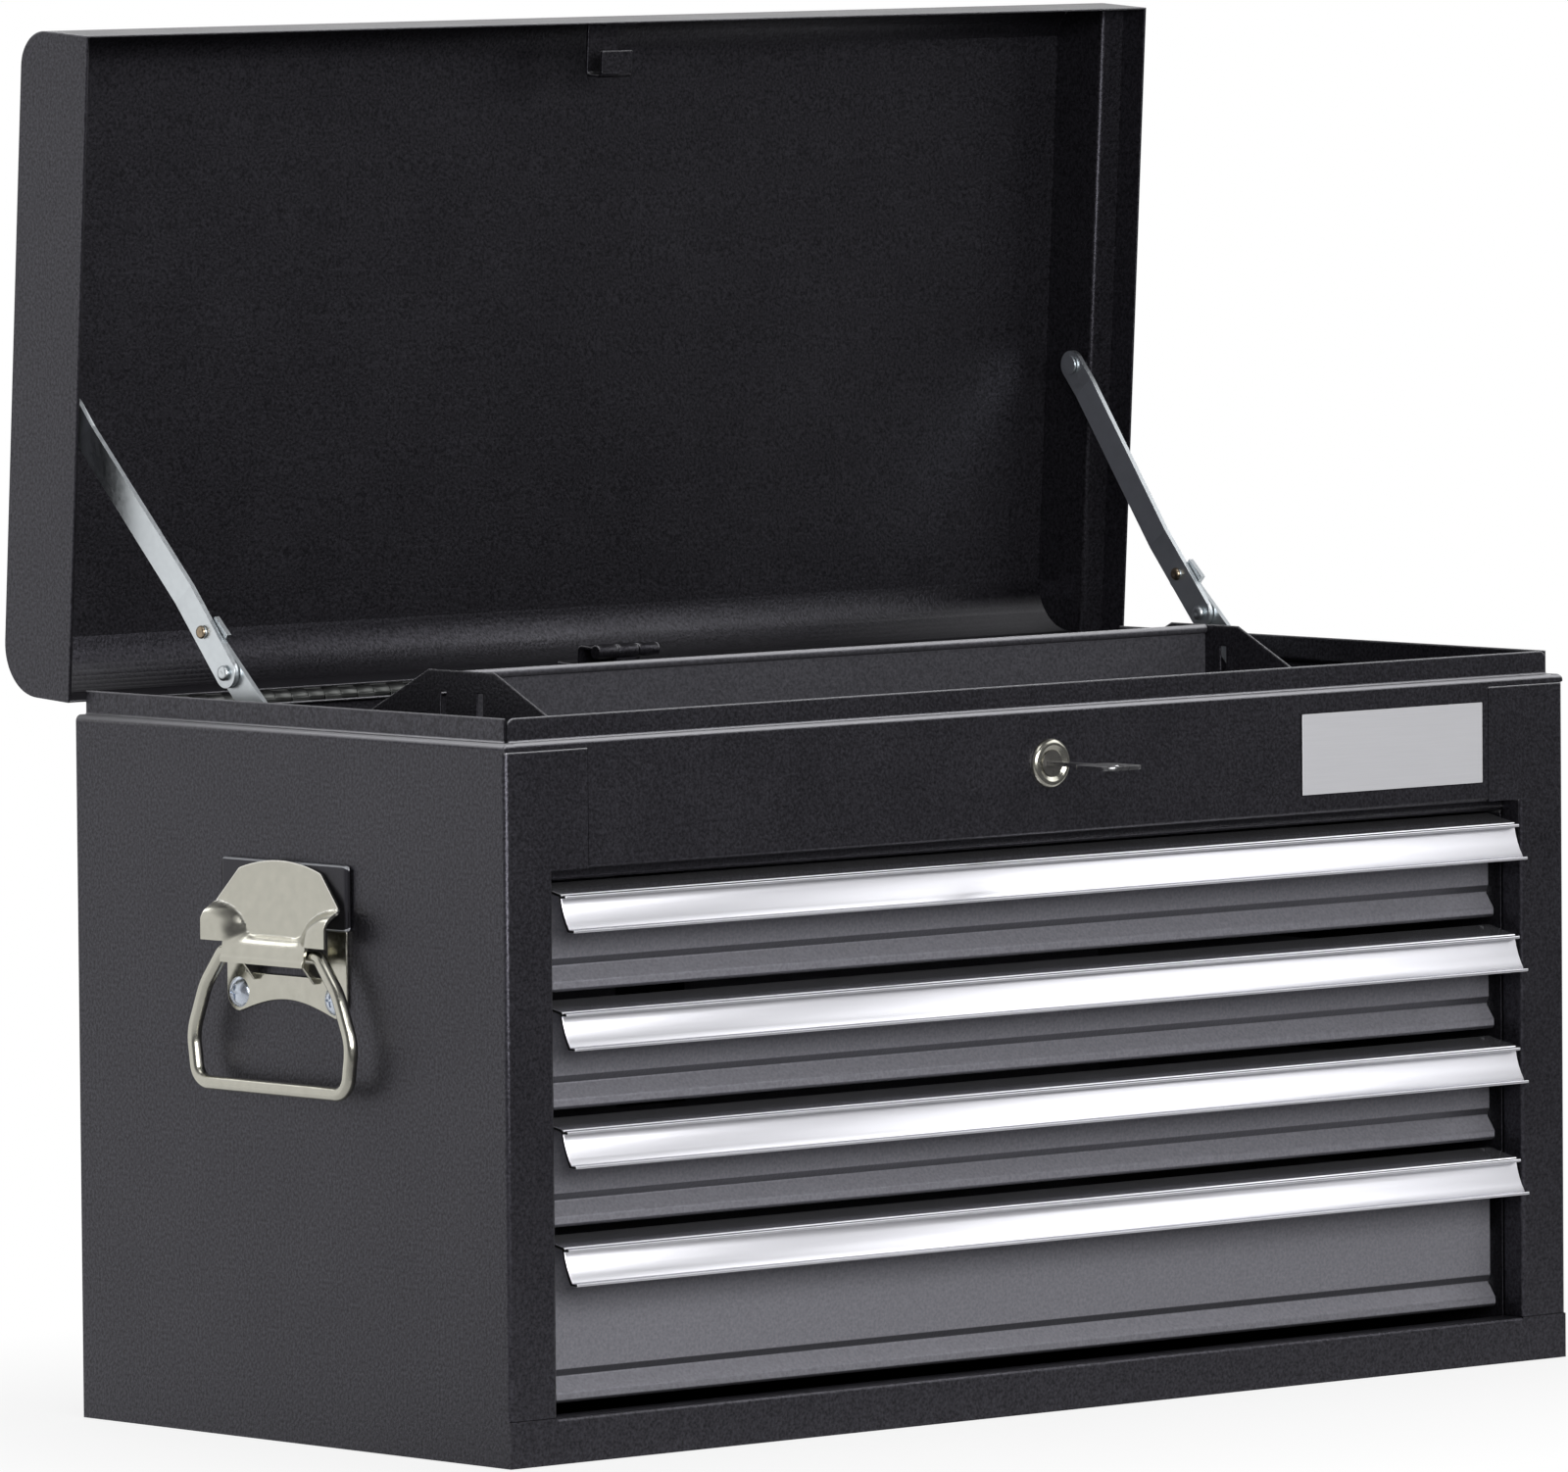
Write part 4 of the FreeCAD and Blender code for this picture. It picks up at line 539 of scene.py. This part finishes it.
def make_plate_flange(name, side, material):
    """Arched strip below the hood with a post at each end behind it, and two eyes that hold the pins."""
    edge = SCREW_HALF + FLANGE_RADIUS
    outline = [(edge, FLANGE_TOP), (WINDOW_HALF, FLANGE_TOP), (WINDOW_HALF, STRIP_TOP)]
    outline += [(-WINDOW_HALF, STRIP_TOP), (-WINDOW_HALF, FLANGE_TOP), (-edge, FLANGE_TOP)]
    outline += arc(-SCREW_HALF, SCREW_Z, FLANGE_RADIUS, 180, 90)
    for step in range(1, 2 * ARC_STEPS):
        share = step / (2 * ARC_STEPS)
        y = SCREW_HALF * (2 * share - 1)
        outline.append((y, SCREW_Z - FLANGE_RADIUS + FLANGE_ARCH * math.sin(share * math.pi)))
    outline += arc(SCREW_HALF, SCREW_Z, FLANGE_RADIUS, -90, 90)
    eye = arc(PIVOT_PROUD, PIVOT_Z, EYE_RADIUS, -90, 180)
    eye_foot = STRIP_TOP - EYE_OVERLAP
    eye += [(EYE_BACK, PIVOT_Z + EYE_BACK_RISE), (EYE_BACK, eye_foot), (EYE_FOOT, eye_foot)]
    steel = (side * PLATE_STEEL, 0.0, 0.0)
    plates = [slab(outline, lambda y, z: (side * SIDE, y, z), steel)]
    for y in (-EYE_HALF, EYE_HALF - PLATE_STEEL):
        plates.append(slab(eye, lambda x, z, y=y: (side * (SIDE + x), y, z), (0.0, PLATE_STEEL, 0.0)))
    points = []
    faces = []
    for plate_points, plate_faces in plates:
        faces += [[len(points) + corner for corner in face] for face in plate_faces]
        points += plate_points
    flange = add_piece(name, points, faces, material)
    outward(flange)
    round_edges(flange, FLANGE_ROUND)
    return flange


def make_grip_plates(looks):
    for name, side in (("left", -1), ("right", 1)):
        hood = make_plate_hood("grip_%s_hood" % name, side, looks["plate"])
        flange = make_plate_flange("grip_%s_flange" % name, side, looks["plate"])
        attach(hood, "cabinet")
        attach(flange, "cabinet")
        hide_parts("grip_%s_plate" % name)


def make_rivet(name, place, radius, height, material):
    """Domed rivet head with a dimple, standing towards -X from a place in millimetres."""
    profile = [(1.0, 0.0), (0.97, 0.35), (0.86, 0.68), (0.66, 0.92)]
    profile += [(0.42, 1.0), (0.26, 0.93), (0.12, 0.80)]
    turns = 28
    points = []
    for reach, rise in profile:
        for turn in range(turns):
            angle = 2 * math.pi * turn / turns
            points.append((place[0] - height * rise, place[1] + radius * reach * math.cos(angle),
                           place[2] + radius * reach * math.sin(angle)))
    faces = []
    for ring in range(len(profile) - 1):
        for turn in range(turns):
            after = (turn + 1) % turns
            faces.append([ring * turns + turn, ring * turns + after,
                          (ring + 1) * turns + after, (ring + 1) * turns + turn])
    last = (len(profile) - 1) * turns
    faces.append([last + turn for turn in range(turns)])
    faces.append([turn for turn in reversed(range(turns))])
    rivet = add_piece(name, points, faces, material)
    outward(rivet)
    return rivet


def make_stay_rivets(looks):
    """Rivet heads on the -X face of each upper stay bar: steel at the elbow, bronze above it."""
    slope = math.radians(STAY_SLOPE)
    along = Vector((0.0, math.cos(slope), math.sin(slope)))
    for name, x in STAY_FACES:
        for kind, distance, radius, look, slot in RIVETS:
            spot = STAY_ELBOW + along * distance
            place = (x, spot.y, spot.z)
            rivet = make_rivet("stay_%s_%s_rivet" % (name, kind), place, radius, RIVET_HEIGHT, looks[look])
            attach(rivet, "stay_%s_upper" % name)


def make_floor():
    """Pale floor: it takes the shadow near the object and turns into the white background further away."""
    corners = [(-FLOOR_HALF, FLOOR_FRONT, 0), (FLOOR_HALF, FLOOR_FRONT, 0)]
    corners += [(FLOOR_HALF, FLOOR_BACK, 0), (-FLOOR_HALF, FLOOR_BACK, 0)]
    mesh = bpy.data.meshes.new("floor")
    mesh.from_pydata(corners, [], [(0, 1, 2, 3)])
    floor = bpy.data.objects.new("floor", mesh)
    floor.location.z = -FLOOR_DROP
    scene.collection.objects.link(floor)
    mesh.materials.append(floor_material())


def floor_material():
    """Floor paint, mixed with white for the camera away from the object, and for gloss behind it."""
    shader = Shader("floor", FLOOR_COLOUR, 0.75, specular=0.2)
    shader.roughness(shader.noise(3.0), 0.70, 0.80)
    past = shader.add("ShaderNodeVectorMath", operation="ABSOLUTE")
    shader.link(shader.place, past.inputs[0])
    outside = shader.add("ShaderNodeVectorMath", operation="SUBTRACT")
    shader.link(past.outputs["Vector"], outside.inputs[0])
    outside.inputs[1].default_value = (SIDE / 1000.0, FRONT / 1000.0, 0.0)
    kept = shader.add("ShaderNodeVectorMath", operation="MAXIMUM")
    shader.link(outside.outputs["Vector"], kept.inputs[0])
    distance = shader.add("ShaderNodeVectorMath", operation="LENGTH")
    shader.link(kept.outputs["Vector"], distance.inputs[0])
    far = shader.ranged(distance.outputs["Value"], NEAR_WHITE, 1.0, NEAR, FAR)
    parts = shader.add("ShaderNodeSeparateXYZ")
    shader.link(shader.place, parts.inputs["Vector"])
    behind = shader.ranged(parts.outputs["Y"], 0.0, 1.0, -0.4, 0.4)
    path = shader.add("ShaderNodeLightPath")
    shown = shader.joined("MULTIPLY", far, path.outputs["Is Camera Ray"])
    mirrored = shader.joined("MULTIPLY", behind, path.outputs["Is Glossy Ray"])
    white = shader.add("ShaderNodeEmission")
    white.inputs["Color"].default_value = WHITE
    white.inputs["Strength"].default_value = 1.0
    mix = shader.add("ShaderNodeMixShader")
    shader.link(shader.joined("MAXIMUM", shown, mirrored), mix.inputs["Fac"])
    shader.link(shader.main.outputs["BSDF"], mix.inputs[1])
    shader.link(white.outputs["Emission"], mix.inputs[2])
    shader.link(mix.outputs["Shader"], shader.tree.nodes["Material Output"].inputs["Surface"])
    return shader.material


def area_light(name, place, size, power):
    data = bpy.data.lights.new(name, "AREA")
    data.shape = "RECTANGLE"
    data.size = size[0]
    data.size_y = size[1]
    data.energy = power
    light = bpy.data.objects.new(name, data)
    light.location = place
    light.rotation_mode = "QUATERNION"
    light.rotation_quaternion = (LIGHT_TARGET - Vector(place)).to_track_quat("-Z", "Y")
    scene.collection.objects.link(light)


def make_light():
    """Soft studio: a white backdrop behind the object that metal and gloss show too, and five softboxes."""
    world = bpy.data.worlds.new("studio")
    scene.world = world
    world.use_nodes = True
    studio = Nodes(world.node_tree)
    room = studio.tree.nodes["Background"]
    room.inputs["Color"].default_value = ROOM_COLOUR
    room.inputs["Strength"].default_value = ROOM_STRENGTH
    white = studio.add("ShaderNodeBackground")
    white.inputs["Color"].default_value = WHITE
    white.inputs["Strength"].default_value = 1.0
    parts = studio.add("ShaderNodeSeparateXYZ")
    studio.link(studio.add("ShaderNodeTexCoord").outputs["Generated"], parts.inputs["Vector"])
    behind = studio.ranged(parts.outputs["Y"], 0.0, 1.0, -0.15, 0.35, interpolation_type="SMOOTHSTEP")
    below = studio.ranged(parts.outputs["Z"], 1.0, 0.0, 0.7, 0.98, interpolation_type="SMOOTHSTEP")
    path = studio.add("ShaderNodeLightPath")
    seen = studio.joined("MAXIMUM", path.outputs["Is Camera Ray"], path.outputs["Is Transmission Ray"])
    backdrop = studio.joined("MULTIPLY", behind, below)
    mirrored = studio.joined("MULTIPLY", path.outputs["Is Glossy Ray"], backdrop)
    mix = studio.add("ShaderNodeMixShader")
    studio.link(studio.joined("MAXIMUM", seen, mirrored), mix.inputs["Fac"])
    studio.link(room.outputs["Background"], mix.inputs[1])
    studio.link(white.outputs["Background"], mix.inputs[2])
    studio.link(mix.outputs["Shader"], studio.tree.nodes["World Output"].inputs["Surface"])
    for name, place, size, power in SOFTBOXES:
        area_light(name, place, size, power)


make_camera()
materials = make_materials()
dress_nodes(materials)
soften_edges()
make_grip_plates(materials)
make_stay_rivets(materials)
make_floor()
make_light()
scene.view_settings.view_transform = "Standard"

bpy.context.view_layer.update()
